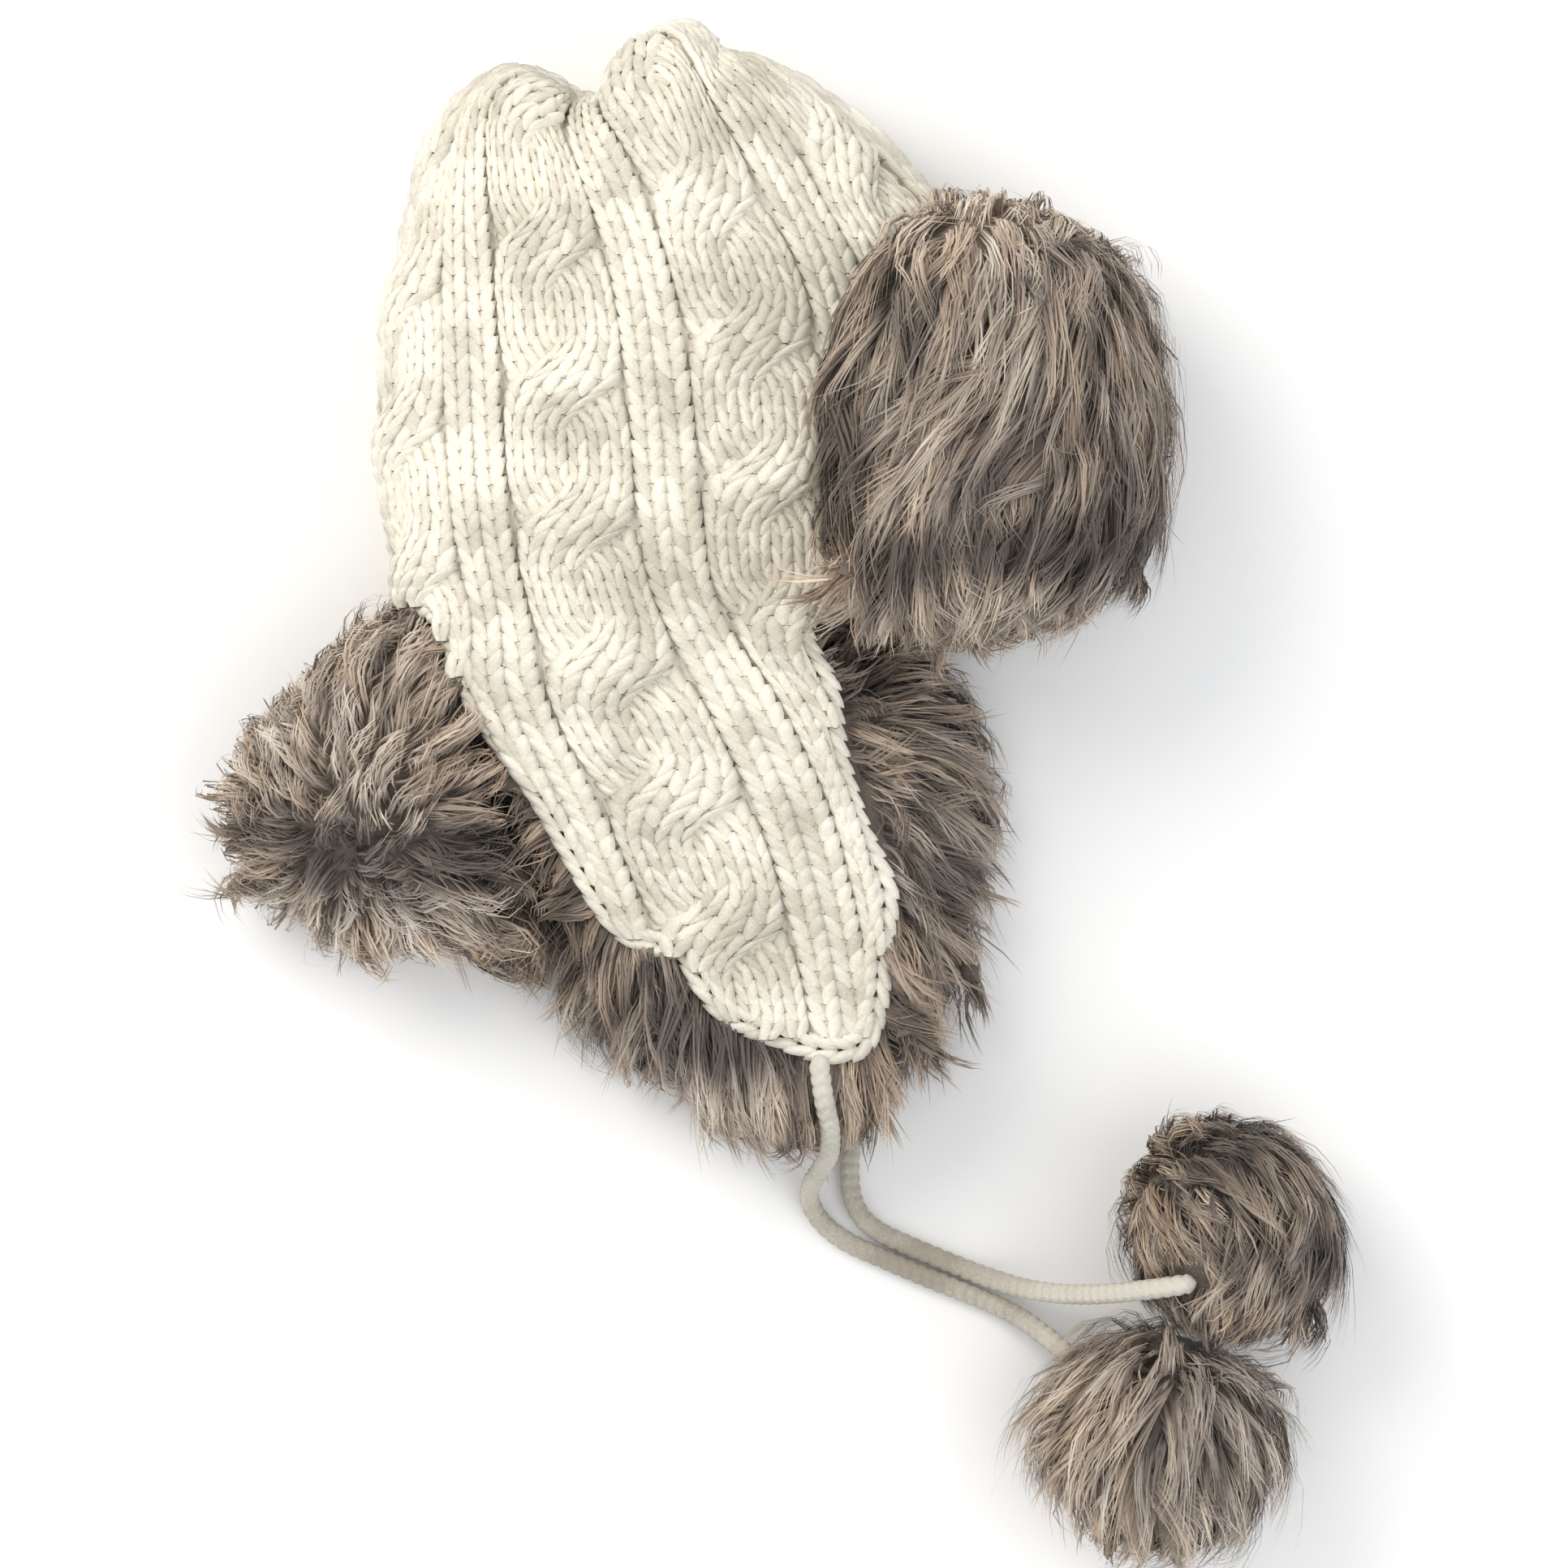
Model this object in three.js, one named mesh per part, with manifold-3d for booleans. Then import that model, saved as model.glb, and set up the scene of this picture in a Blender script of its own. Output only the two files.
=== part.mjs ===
// Cable knit trapper hat, lying on its left side as it was laid down.
// Millimetres. +X is the way the face looks, +Y is towards the top of the crown, +Z is up.
// The right ear flap is the near one, on top, and the left ear flap is the far one, on the surface.
import * as THREE from 'three';
import { mergeVertices } from 'three/addons/utils/BufferGeometryUtils.js';
import Module from 'manifold-3d';

const wasm = await Module();
wasm.setup();

// Driving sizes of the knit
const WALL = 6;             // thickness of the chunky knit
const REPEAT = 64.7;        // width of one rib and one cable side by side
const REPEATS = 8;          // ribs, and cables, round the hat
const HALF_ROUND = REPEAT * REPEATS / 2;
const QUARTER_ROUND = HALF_ROUND / 2;
const RIB_HALF = 10;        // half the width of a two stitch rib
const GUTTER = 11.3;        // from the middle of a rib to the gutter beside it
const GUTTER_DEPTH = 2.8;
const RIB_RISE = 1.2;
const STRAND_HALF = 11;     // half the width of one of a cable's two strands
const STRAND_OFFSET = 10.3; // from the middle of the cable to the middle of a strand
const STRAND_RISE = 2.4;
const CROSS_EVERY = 45;     // a cable crosses itself once in eight rows
const CROSS_LENGTH = 22;    // of which the crossing itself takes this much
const CROSS_LIFT = 2.6;     // the strand on top stands this much prouder in the crossing
const OVALNESS = 2.4;       // exponent of the crown's rounded sections
const RIM = 209.5;          // from the gathered top down to the rim, along the knit
const CLEAR = 0.4;          // gap between pieces that touch

// The front of the crown is held off the surface by the fur of the brim that is folded under it
const NOSE_LIFT = 20;
const NOSE_FROM = 50;
const NOSE_TO = 105;

// The middle of the hat without its ties, measured from the rib's own zero
const MIDDLE = new THREE.Vector3(29.4, -61.4, 0);

// Sections of the crown, from the gathered top down, and of the flaps below the rim.
// down: along the knit; y: height in the hat; back, front, low, high: the section's box;
// nearRib, farRib: where the rib in the middle of each side runs; spread: sideways stretch of a flap.
const SECTIONS = [
  { down: 0, y: 106, back: 14, front: 14, low: 44, high: 44, nearRib: 14, farRib: 14, spread: 1 },
  { down: 20, y: 108, back: -10, front: 34, low: 22, high: 65, nearRib: 3, farRib: 14, spread: 1 },
  { down: 34, y: 106, back: -26, front: 52, low: 8, high: 79, nearRib: -4, farRib: 16, spread: 1 },
  { down: 44, y: 101, back: -40, front: 66, low: -2, high: 86, nearRib: -5, farRib: 18, spread: 1 },
  { down: 56, y: 91, back: -51, front: 84, low: -8, high: 91, nearRib: -3, farRib: 22, spread: 1 },
  { down: 76, y: 70, back: -60, front: 107, low: -12, high: 94, nearRib: 4, farRib: 28, spread: 1 },
  { down: 104, y: 42, back: -68, front: 127, low: -14, high: 95, nearRib: 13, farRib: 34, spread: 1 },
  { down: 133, y: 13, back: -72, front: 138, low: -14, high: 95, nearRib: 18, farRib: 36, spread: 1 },
  { down: 159, y: -13, back: -73, front: 141, low: -14, high: 95, nearRib: 21, farRib: 38, spread: 1 },
  { down: 183, y: -37, back: -71, front: 141, low: -14, high: 95, nearRib: 23, farRib: 40, spread: 1 },
  { down: 209.5, y: -63, back: -67, front: 136, low: -14, high: 93, nearRib: 28, farRib: 42, spread: 1 },
  { down: 245, y: -98, back: -68, front: 137, low: -14, high: 85, nearRib: 47, farRib: 57, spread: 1.15 },
  { down: 279, y: -130, back: -64, front: 137, low: -14, high: 75, nearRib: 62, farRib: 72, spread: 1.13 },
  { down: 316, y: -165, back: -60, front: 137, low: -14, high: 66, nearRib: 72, farRib: 82, spread: 1.06 },
  { down: 362, y: -209, back: -56, front: 137, low: -14, high: 60, nearRib: 80, farRib: 92, spread: 1 },
];

// Where the knit of an ear flap ends, from its back edge, round the tip, to its front edge.
// around: from the flap's middle rib towards the face; down: from the gathered top.
const FLAP_EDGE = [
  { around: -104, down: 209.5 },
  { around: -92, down: 213 },
  { around: -84, down: 221 },
  { around: -78, down: 233 },
  { around: -74, down: 250 },
  { around: -70, down: 272 },
  { around: -66, down: 312 },
  { around: -59, down: 326 },
  { around: -50, down: 341 },
  { around: -42, down: 352 },
  { around: -24, down: 358 },
  { around: -9, down: 361.5 },
  { around: 3, down: 359 },
  { around: 10, down: 347 },
  { around: 16, down: 328 },
  { around: 20, down: 311 },
  { around: 22, down: 285 },
  { around: 26, down: 259 },
  { around: 33, down: 236 },
  { around: 42, down: 217 },
  { around: 54, down: 209.5 },
];

// Humps and hollows along the top of the crown where the gathered knit folds over. They fade out
// between the two places down the knit.
const FOLDS_FADE = { from: 30, to: 95 };
const TOP_FOLDS = [
  { x: 31, lift: 13.5, halfWidth: 32 },
  { x: -9, lift: -6, halfWidth: 12 },
  { x: -28, lift: 3, halfWidth: 14 },
];

// Dents pressed into the near side: middle, half sizes and depth. A negative depth is a hump.
const DENTS = [
  { x: -6, y: 97, halfX: 10, halfY: 20, depth: 7 },
  { x: 34, y: 92, halfX: 26, halfY: 22, depth: -5 },
  { x: 72, y: 84, halfX: 10, halfY: 26, depth: 4 },
  { x: 44, y: -70, halfX: 12, halfY: 30, depth: 3 },
];

// Fur bodies as ovals from top to bottom, without their locks
const BRIM_FUR = [
  { y: 65, back: 98, front: 146, low: 18, high: 98 },
  { y: 53, back: 74, front: 166, low: -6, high: 109 },
  { y: 26, back: 62, front: 176, low: -18, high: 116 },
  { y: 0, back: 57, front: 181, low: -20, high: 118 },
  { y: -26, back: 57, front: 180, low: -20, high: 118 },
  { y: -48, back: 57, front: 176, low: -16, high: 115 },
  { y: -63, back: 66, front: 165, low: -8, high: 108 },
  { y: -73, back: 88, front: 148, low: 6, high: 100 },
];
const FAR_FLAP_FUR = [
  { y: -70, back: 0, front: 104, low: 1, high: 28 },
  { y: -88, back: -14, front: 118, low: -6, high: 33 },
  { y: -124, back: -16, front: 126, low: -8, high: 34 },
  { y: -160, back: -14, front: 121, low: -8, high: 35 },
  { y: -190, back: -4, front: 113, low: -8, high: 35 },
  { y: -216, back: 18, front: 97, low: -6, high: 34 },
  { y: -234, back: 44, front: 82, low: 0, high: 26 },
];
const NEAR_FLAP_FUR = [
  { y: -72, back: -36, front: 70, low: 66, high: 86 },
  { y: -98, back: -42, front: 92, low: 57, high: 81 },
  { y: -130, back: -30, front: 98, low: 46, high: 72 },
  { y: -160, back: -14, front: 106, low: 36, high: 64 },
  { y: -190, back: 4, front: 106, low: 35.5, high: 59 },
  { y: -214, back: 28, front: 98, low: 35.5, high: 56 },
  { y: -230, back: 52, front: 82, low: 36, high: 50 },
];
const NECK_FUR = [
  { y: -66, back: -76, front: -52, low: 14, high: 58 },
  { y: -80, back: -88, front: -38, low: 2, high: 70 },
  { y: -100, back: -110, front: -22, low: -6, high: 74 },
  { y: -125, back: -119, front: -16, low: -8, high: 74 },
  { y: -148, back: -116, front: -12, low: -8, high: 66 },
  { y: -164, back: -102, front: -16, low: -4, high: 52 },
  { y: -174, back: -76, front: -34, low: 4, high: 36 },
];

// How the locks of each fur lie. tiers: rows of locks down the body; round: locks in one tier;
// length: past the tier's own end; lift: off the tier below; tuck: of each tier under the one above.
const BRIM_LOCKS = { tiers: 7, round: 13, length: 8, lift: 6, tuck: 3.5, salt: 3 };
const FLAP_LOCKS = { tiers: 6, round: 10, length: 9, lift: 6, tuck: 3, salt: 5 };
const NECK_LOCKS = { tiers: 6, round: 12, length: 7, lift: 8, tuck: 3, salt: 7 };
const POMPOM_LOCKS = { tiers: 7, round: 8, length: 6, lift: 6, tuck: 2, salt: 1 };
const NOTCH = 0.4;          // how far up its tier the gap between two locks goes
const FUR_OVALNESS = 2.3;   // exponent of the fur's rounded sections

// The two flap furs meet at this height, the brim's fur meets them at this place under the rim,
// and the neck fur meets them along this line
const FURS_MEET = 35.2;
const UNDER_RIM = -74;
const NECK_LINE = [new THREE.Vector2(-46, -60), new THREE.Vector2(-27, -190)];

// Below the middle of the rim, on the way in
const HEAD_WAY_IN = new THREE.Vector3(45, -112, 40);

// Ties and pompoms
const TIE_RADIUS = 3.25;
const TIE_SIDES = 8;
const TIE_STEP = 13;
const NEAR_TIE_ROUTE = [
  [70.8, -210.4, 57], [71.5, -217, 56.5], [72.8, -226, 54], [74.6, -235, 47], [74.5, -243, 36],
  [71.5, -249.5, 24], [68.6, -255, 12.5], [68.4, -260.8, 5.6], [71.4, -266.6, 3.6],
  [76.6, -271.6, 3.4], [83, -275.4, 3.4], [92, -279.4, 3.4], [104, -284.6, 3.4],
  [116, -289.4, 3.4], [127, -293.8, 3.8], [137, -298.6, 7], [146, -304.8, 14],
  [154, -311.2, 22], [160, -316.4, 28],
];
const FAR_TIE_ROUTE = [
  [83, -210.6, 3.4], [83.5, -219, 3.4], [83, -229, 3.4], [82, -240, 3.4], [81.4, -250, 3.4],
  [82.2, -259, 3.4], [85.6, -266.2, 3.4], [91.5, -271, 3.4], [100, -275, 3.4], [110, -279.2, 3.4],
  [119, -282.8, 3.8], [128, -286, 7.5], [138, -288.6, 15], [149, -289.8, 26], [160, -289.4, 38.5],
  [169, -288.2, 49], [177, -286.8, 57], [185, -285.4, 62.5], [193, -284, 65],
];
const POMPOM_RADIUS = 35;   // without its locks
const POMPOM_ROWS = 8;      // rows of its table of ovals
const POMPOM_END = 6;       // radius of the small flat at either end of it
const NEAR_POMPOM = new THREE.Vector3(180, -333, 37);
const FAR_POMPOM = new THREE.Vector3(203, -267, 38);

// Finishes
const CREAM_WOOL = new THREE.MeshStandardMaterial({ color: '#e8e2d4', roughness: 0.95, metalness: 0 });
const CREAM_CORD = new THREE.MeshStandardMaterial({ color: '#d8d2c4', roughness: 0.95, metalness: 0 });
const BROWN_FUR = new THREE.MeshStandardMaterial({ color: '#7d6c5c', roughness: 0.9, metalness: 0 });

function smooth(from, to, value) {
  const t = THREE.MathUtils.clamp((value - from) / (to - from), 0, 1);
  return t * t * (3 - 2 * t);
}

// A value from a table's column at a place between its rows, on a smooth curve through them
function readColumn(table, placeKey, key, place) {
  let i = 0;
  while (i < table.length - 2 && table[i + 1][placeKey] < place) {
    i += 1;
  }
  const before = table[Math.max(i - 1, 0)];
  const a = table[i];
  const b = table[i + 1];
  const after = table[Math.min(i + 2, table.length - 1)];
  const span = b[placeKey] - a[placeKey];
  const t = THREE.MathUtils.clamp((place - a[placeKey]) / span, 0, 1);
  const slopeA = (b[key] - before[key]) / (b[placeKey] - before[placeKey]) * span;
  const slopeB = (after[key] - a[key]) / (after[placeKey] - a[placeKey]) * span;
  const t2 = t * t;
  const t3 = t2 * t;
  return (2 * t3 - 3 * t2 + 1) * a[key] + (t3 - 2 * t2 + t) * slopeA
    + (3 * t2 - 2 * t3) * b[key] + (t3 - t2) * slopeB;
}

function readRow(table, placeKey, place) {
  const row = {};
  for (const key of Object.keys(table[0])) {
    row[key] = key === placeKey ? place : readColumn(table, placeKey, key, place);
  }
  return row;
}

// Height of the crown's underside over the surface: flat at the back, lifted at the front
function underside(x, y) {
  return NOSE_LIFT * smooth(NOSE_FROM, NOSE_TO, x) * smooth(-112, -72, y);
}

// The closed outline of one section, as points with their distance along it from the front.
// inset moves it inwards, and a negative inset outwards.
const LOOP_STEPS = 180;
const loops = new Map();
function sectionLoop(down, inset) {
  const key = `${down.toFixed(3)} ${inset}`;
  if (loops.has(key)) {
    return loops.get(key);
  }
  const row = readRow(SECTIONS, 'down', down);
  const halfX = Math.max((row.front - row.back) / 2 - inset, 0.01);
  const halfZ = Math.max((row.high - row.low) / 2 - inset, 0.01);
  const midX = (row.front + row.back) / 2;
  const midZ = (row.high + row.low) / 2;
  const points = [];
  let run = 0;
  for (let i = 0; i <= LOOP_STEPS; i += 1) {
    const angle = 2 * Math.PI * i / LOOP_STEPS;
    const c = Math.cos(angle);
    const s = Math.sin(angle);
    const x = midX + halfX * Math.sign(c) * Math.abs(c) ** (2 / OVALNESS);
    const raw = midZ + halfZ * Math.sign(s) * Math.abs(s) ** (2 / OVALNESS);
    const z = Math.max(raw, underside(x, row.y) + inset);
    if (i > 0) {
      const last = points[i - 1];
      run += Math.hypot(x - last.x, z - last.z);
    }
    points.push({ x, z, run });
  }
  const half = LOOP_STEPS / 2;
  const loop = {
    row,
    points,
    length: run,
    nearRun: runAtX(points, 0, half, row.nearRib),
    farRun: runAtX(points, LOOP_STEPS, half, row.farRib),
  };
  loops.set(key, loop);
  return loop;
}

// Distance along the loop where it passes x, looking from the front tip to the back tip
function runAtX(points, from, to, x) {
  const step = Math.sign(to - from);
  for (let i = from; i !== to; i += step) {
    const a = points[i];
    const b = points[i + step];
    if (a.x >= x && b.x < x) {
      const t = (a.x - x) / (a.x - b.x);
      return a.run + (b.run - a.run) * t;
    }
  }
  return points[to].run;
}

function pointAtRun(loop, run) {
  const wrapped = ((run % loop.length) + loop.length) % loop.length;
  let low = 0;
  let high = LOOP_STEPS;
  while (high - low > 1) {
    const middle = (low + high) >> 1;
    if (loop.points[middle].run <= wrapped) {
      low = middle;
    } else {
      high = middle;
    }
  }
  const a = loop.points[low];
  const b = loop.points[high];
  const t = b.run > a.run ? (wrapped - a.run) / (b.run - a.run) : 0;
  return { x: a.x + (b.x - a.x) * t, z: a.z + (b.z - a.z) * t };
}

// A point of the plain wall. around runs from the near side's middle rib over the face to the
// far side's middle rib at HALF_ROUND, and back over the nape at negative values.
function wallPoint(around, down, inset) {
  const loop = sectionLoop(down, inset);
  const overFace = (loop.nearRun + loop.length - loop.farRun) / HALF_ROUND;
  const overNape = (loop.farRun - loop.nearRun) / HALF_ROUND;
  const toFace = around >= 0;
  const natural = toFace ? overFace : overNape;
  const stretch = THREE.MathUtils.lerp(natural, loop.row.spread, smooth(RIM, RIM + 30, down));
  const nearHalf = Math.abs(around) <= QUARTER_ROUND;
  const reach = (nearHalf ? Math.abs(around) : HALF_ROUND - Math.abs(around)) * stretch;
  let run;
  if (nearHalf) {
    run = loop.nearRun + (toFace ? -reach : reach);
  } else {
    run = loop.farRun + (toFace ? reach : -reach);
  }
  const { x, z } = pointAtRun(loop, run);
  let y = loop.row.y;
  const onTop = 1 - smooth(FOLDS_FADE.from, FOLDS_FADE.to, down);
  for (const fold of TOP_FOLDS) {
    y += fold.lift * onTop * Math.exp(-(((x - fold.x) / fold.halfWidth) ** 4));
  }
  let lowered = 0;
  for (const dent of DENTS) {
    const away = ((x - dent.x) / dent.halfX) ** 2 + ((y - dent.y) / dent.halfY) ** 2;
    lowered += dent.depth * Math.exp(-away);
  }
  const onNear = smooth(45, 80, z);
  return new THREE.Vector3(x, y, z - lowered * onNear);
}

// Which way the strand at one side of a cable lies, and how proud, at a place down the cable
function strandAt(strand, down, phase) {
  const turns = (down - phase) / CROSS_EVERY;
  const crossing = Math.round(turns);
  const along = (turns - crossing) * CROSS_EVERY / CROSS_LENGTH;
  const swap = smooth(-0.5, 0.5, along);
  const before = (crossing + strand) % 2 === 0 ? 1 : -1;
  const side = before * (1 - 2 * swap);
  const inCrossing = Math.max(0, 1 - (2 * along) ** 2);
  return { offset: side * STRAND_OFFSET, lift: before * inCrossing * CROSS_LIFT };
}

// Relief of the knit over the plain wall: ribs, gutters and two strand cables
function knitRelief(around, down) {
  const index = Math.round(around / REPEAT);
  const q = around - index * REPEAT;
  const fade = smooth(8, 60, down);
  let height;
  if (Math.abs(q) < GUTTER) {
    height = RIB_RISE * Math.max(0, 1 - (q / RIB_HALF) ** 4);
    height -= GUTTER_DEPTH * smooth(RIB_HALF - 2, GUTTER, Math.abs(q));
  } else {
    const cable = index + Math.sign(q) / 2;
    const c = q - Math.sign(q) * REPEAT / 2;
    const phase = 96 - 14 * (cable + 0.5);
    height = -GUTTER_DEPTH;
    for (const strand of [0, 1]) {
      const { offset, lift } = strandAt(strand, down, phase);
      const across = (c - offset) / STRAND_HALF;
      const round = Math.sqrt(Math.max(0, 1 - across * across));
      height = Math.max(height, -GUTTER_DEPTH + (GUTTER_DEPTH + STRAND_RISE + lift) * round);
    }
  }
  return height * fade;
}

// Which way the wall faces at a place
function wallNormal(around, down, inset) {
  const side = 1.5;
  const alongRound = wallPoint(around + side, down, inset).sub(wallPoint(around - side, down, inset));
  const alongDown = wallPoint(around, down + side, inset).sub(wallPoint(around, down - side, inset));
  return alongDown.cross(alongRound).normalize();
}

// A point of the wall's outer face with its relief, pressed flat where the hat lies on it.
// grow moves it outwards, for the room that the wall takes with the gap round it.
function outerPoint(around, down, grow) {
  const point = wallPoint(around, down, 0);
  const free = smooth(1, 14, point.z - underside(point.x, point.y));
  const rise = knitRelief(around, down) * free + grow;
  point.addScaledVector(wallNormal(around, down, 0), rise);
  point.z = Math.max(point.z, -grow);
  return point;
}

function innerPoint(around, down, grow) {
  return wallPoint(around, down, WALL).addScaledVector(wallNormal(around, down, WALL), -grow);
}

// How far down the knit goes at a place round the hat
function edgeDown(around) {
  const nearHalf = Math.abs(around) <= QUARTER_ROUND;
  const place = nearHalf ? around : Math.sign(around) * (HALF_ROUND - Math.abs(around));
  const first = FLAP_EDGE[0];
  const last = FLAP_EDGE[FLAP_EDGE.length - 1];
  if (place <= first.around || place >= last.around) {
    return RIM;
  }
  let i = 0;
  while (FLAP_EDGE[i + 1].around < place) {
    i += 1;
  }
  const a = FLAP_EDGE[i];
  const b = FLAP_EDGE[i + 1];
  return THREE.MathUtils.lerp(a.down, b.down, (place - a.around) / (b.around - a.around));
}

// Places round the hat that get a column of points: close together where the relief shows
function columnPlaces() {
  const fine = [-GUTTER, -5.5, 5.5, GUTTER, 17.5, 25, REPEAT / 2, 39.7, 47.2];
  const coarse = [-GUTTER, 0, GUTTER, REPEAT / 2];
  const places = [];
  for (let index = -REPEATS / 2; index < REPEATS / 2; index += 1) {
    const shows = index >= -2 && index <= 0;
    for (const q of shows ? fine : coarse) {
      places.push(index * REPEAT + q);
    }
  }
  for (const edge of [-84, -74, -69, 21]) {
    places.push(edge);
    places.push(-Math.sign(edge) * HALF_ROUND + edge);
  }
  for (const edge of [26, 41]) {
    places.push(edge - HALF_ROUND);
  }
  const inRange = places.map((p) => (p < -HALF_ROUND ? p + 2 * HALF_ROUND : p));
  return inRange.sort((a, b) => a - b);
}

// A closed solid from rings of points, with a single point at each end
function solidFromRings(firstPole, rings, lastPole) {
  const sides = rings[0].length;
  const positions = [firstPole, ...rings.flat(), lastPole].flatMap((p) => [p.x, p.y, p.z]);
  const last = 1 + rings.length * sides;
  const index = [];
  for (let i = 0; i < sides; i += 1) {
    const next = (i + 1) % sides;
    index.push(0, 1 + i, 1 + next);
    for (let r = 0; r < rings.length - 1; r += 1) {
      const a = 1 + r * sides;
      const b = a + sides;
      index.push(a + i, b + i, b + next, a + i, b + next, a + next);
    }
    const end = 1 + (rings.length - 1) * sides;
    index.push(end + i, last, end + next);
  }
  const geometry = new THREE.BufferGeometry();
  geometry.setAttribute('position', new THREE.Float32BufferAttribute(positions, 3));
  geometry.setIndex(index);
  return geometry;
}

function toSolid(geometry) {
  const bare = geometry.clone();
  bare.deleteAttribute('normal');
  bare.deleteAttribute('uv');
  const merged = mergeVertices(bare, 1e-4);
  return new wasm.Manifold(new wasm.Mesh({
    numProp: 3,
    vertProperties: new Float32Array(merged.attributes.position.array),
    triVerts: new Uint32Array(merged.index.array),
  }));
}

function toGeometry(solid) {
  const mesh = solid.getMesh();
  const geometry = new THREE.BufferGeometry();
  geometry.setAttribute('position', new THREE.Float32BufferAttribute(mesh.vertProperties, 3));
  geometry.setIndex([...mesh.triVerts]);
  geometry.computeVertexNormals();
  return geometry;
}

// The crown and both flaps: the outer face from the top to the edge, then the inner face back up.
// grow makes the room that they take with the gap round it.
const OUTER_ROWS = { crown: 16, flap: 10 };
const INNER_ROWS = { crown: 5, flap: 6 };
const LEVEL_DOWN = 196;     // rows run level round the crown down to here, then follow the edge

function rowDowns(rows, edge) {
  const downs = [];
  for (let r = 1; r <= rows.crown; r += 1) {
    downs.push(LEVEL_DOWN * r / rows.crown);
  }
  for (let r = 1; r <= rows.flap; r += 1) {
    downs.push(THREE.MathUtils.lerp(LEVEL_DOWN, edge, r / rows.flap));
  }
  return downs;
}

function wallRings(places, rows, facePoint, grow) {
  const columns = places.map((p) => rowDowns(rows, edgeDown(p)).map((down) => facePoint(p, down, grow)));
  return columns[0].map((_, r) => columns.map((column) => column[r]));
}

function pastEdge(around, grow) {
  const besides = [around - 2 * grow, around, around + 2 * grow];
  return Math.max(...besides.map(edgeDown)) + 2 * grow;
}

function topPoint(rise) {
  const top = wallPoint(0, 0, 0);
  top.y += rise;
  return top;
}

function knitShell(grow) {
  const places = columnPlaces();
  const rings = wallRings(places, OUTER_ROWS, outerPoint, grow);
  if (grow > 0) {
    rings.push(places.map((p) => outerPoint(p, pastEdge(p, grow), grow)));
    rings.push(places.map((p) => innerPoint(p, pastEdge(p, grow), grow)));
  }
  rings.push(...wallRings(places, INNER_ROWS, innerPoint, grow).reverse());
  return solidFromRings(topPoint(grow), rings, topPoint(-WALL - grow));
}

// Everything inside the hat's outer face, closed under the rim
function headSpace() {
  const places = columnPlaces();
  const rings = wallRings(places, OUTER_ROWS, outerPoint, CLEAR);
  rings.push(places.map((p) => outerPoint(p, pastEdge(p, CLEAR), CLEAR)));
  return solidFromRings(topPoint(CLEAR), rings, HEAD_WAY_IN);
}

// A repeatable scatter between 0 and 1
function scatter(i, salt) {
  const value = Math.sin(i * 12.9898 + salt * 78.233) * 43758.5453;
  return value - Math.floor(value);
}

// A point of a fur body at a height and an angle, rise millimetres out from its plain oval
function furPoint(table, y, angle, rise) {
  const row = readRow(table, 'y', THREE.MathUtils.clamp(y, table[0].y, table[table.length - 1].y));
  const c = Math.cos(angle);
  const s = Math.sin(angle);
  const halfX = (row.front - row.back) / 2 + rise;
  const halfZ = (row.high - row.low) / 2 + rise;
  const x = (row.front + row.back) / 2 + halfX * Math.sign(c) * Math.abs(c) ** (2 / FUR_OVALNESS);
  const z = (row.high + row.low) / 2 + halfZ * Math.sign(s) * Math.abs(s) ** (2 / FUR_OVALNESS);
  return new THREE.Vector3(x, y, z);
}

// A fur body in tiers of locks, like thatch. Every tier starts tucked in under the one above and
// ends in a hem of pointed locks that stand off it, with the next tier's locks between them.
function furBody(upward, locks) {
  const table = [...upward].reverse();
  const top = upward[0].y;
  const tier = (top - table[0].y) / locks.tiers;
  const places = 2 * locks.round;
  const rings = [];
  const ringAt = (place) => Array.from({ length: places }, (_, i) => place(i, -2 * Math.PI * i / places));
  for (let t = 0; t < locks.tiers; t += 1) {
    const hem = top - (t + 1) * tier;
    rings.push(ringAt((i, angle) => furPoint(table, hem + tier, angle, -locks.tuck)));
    rings.push(ringAt((i, angle) => {
      if ((i + t) % 2 === 1) {
        return furPoint(table, hem + NOTCH * tier, angle, 0);
      }
      const size = 0.6 + 0.8 * scatter(i + t * places, locks.salt);
      const sway = (scatter(i + t * places, locks.salt + 1) - 0.5) * Math.PI / places;
      const tip = furPoint(table, hem, angle + sway, locks.lift * size);
      tip.y -= locks.length * size;
      return tip;
    }));
  }
  rings.push(ringAt((i, angle) => furPoint(table, table[0].y, angle, -locks.tuck)));
  const middle = (row, y) => new THREE.Vector3((row.back + row.front) / 2, y, (row.low + row.high) / 2);
  return solidFromRings(middle(upward[0], top + 2), rings, middle(table[0], table[0].y - 1));
}

// The largest body of a solid, after a cut that may leave crumbs
function mainBody(solid) {
  const bodies = solid.decompose();
  return bodies.reduce((a, b) => (a.volume() >= b.volume() ? a : b));
}

// A box that covers everything on one side of a plane through a point
function halfSpace(point, normal) {
  const size = 800;
  const box = new THREE.BoxGeometry(size, size, size);
  box.translate(0, 0, size / 2);
  const turn = new THREE.Quaternion().setFromUnitVectors(new THREE.Vector3(0, 0, 1), normal);
  box.applyQuaternion(turn);
  box.translate(point.x, point.y, point.z);
  return toSolid(box);
}

function tie(route, radius) {
  const curve = new THREE.CatmullRomCurve3(route.map((p) => new THREE.Vector3(...p)));
  const section = new THREE.Shape();
  section.absarc(0, 0, radius, 0, 2 * Math.PI, false);
  const steps = Math.round(curve.getLength() / TIE_STEP);
  return new THREE.ExtrudeGeometry(section, {
    steps: steps, curveSegments: TIE_SIDES / 2, extrudePath: curve, bevelEnabled: false,
  });
}

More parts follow.
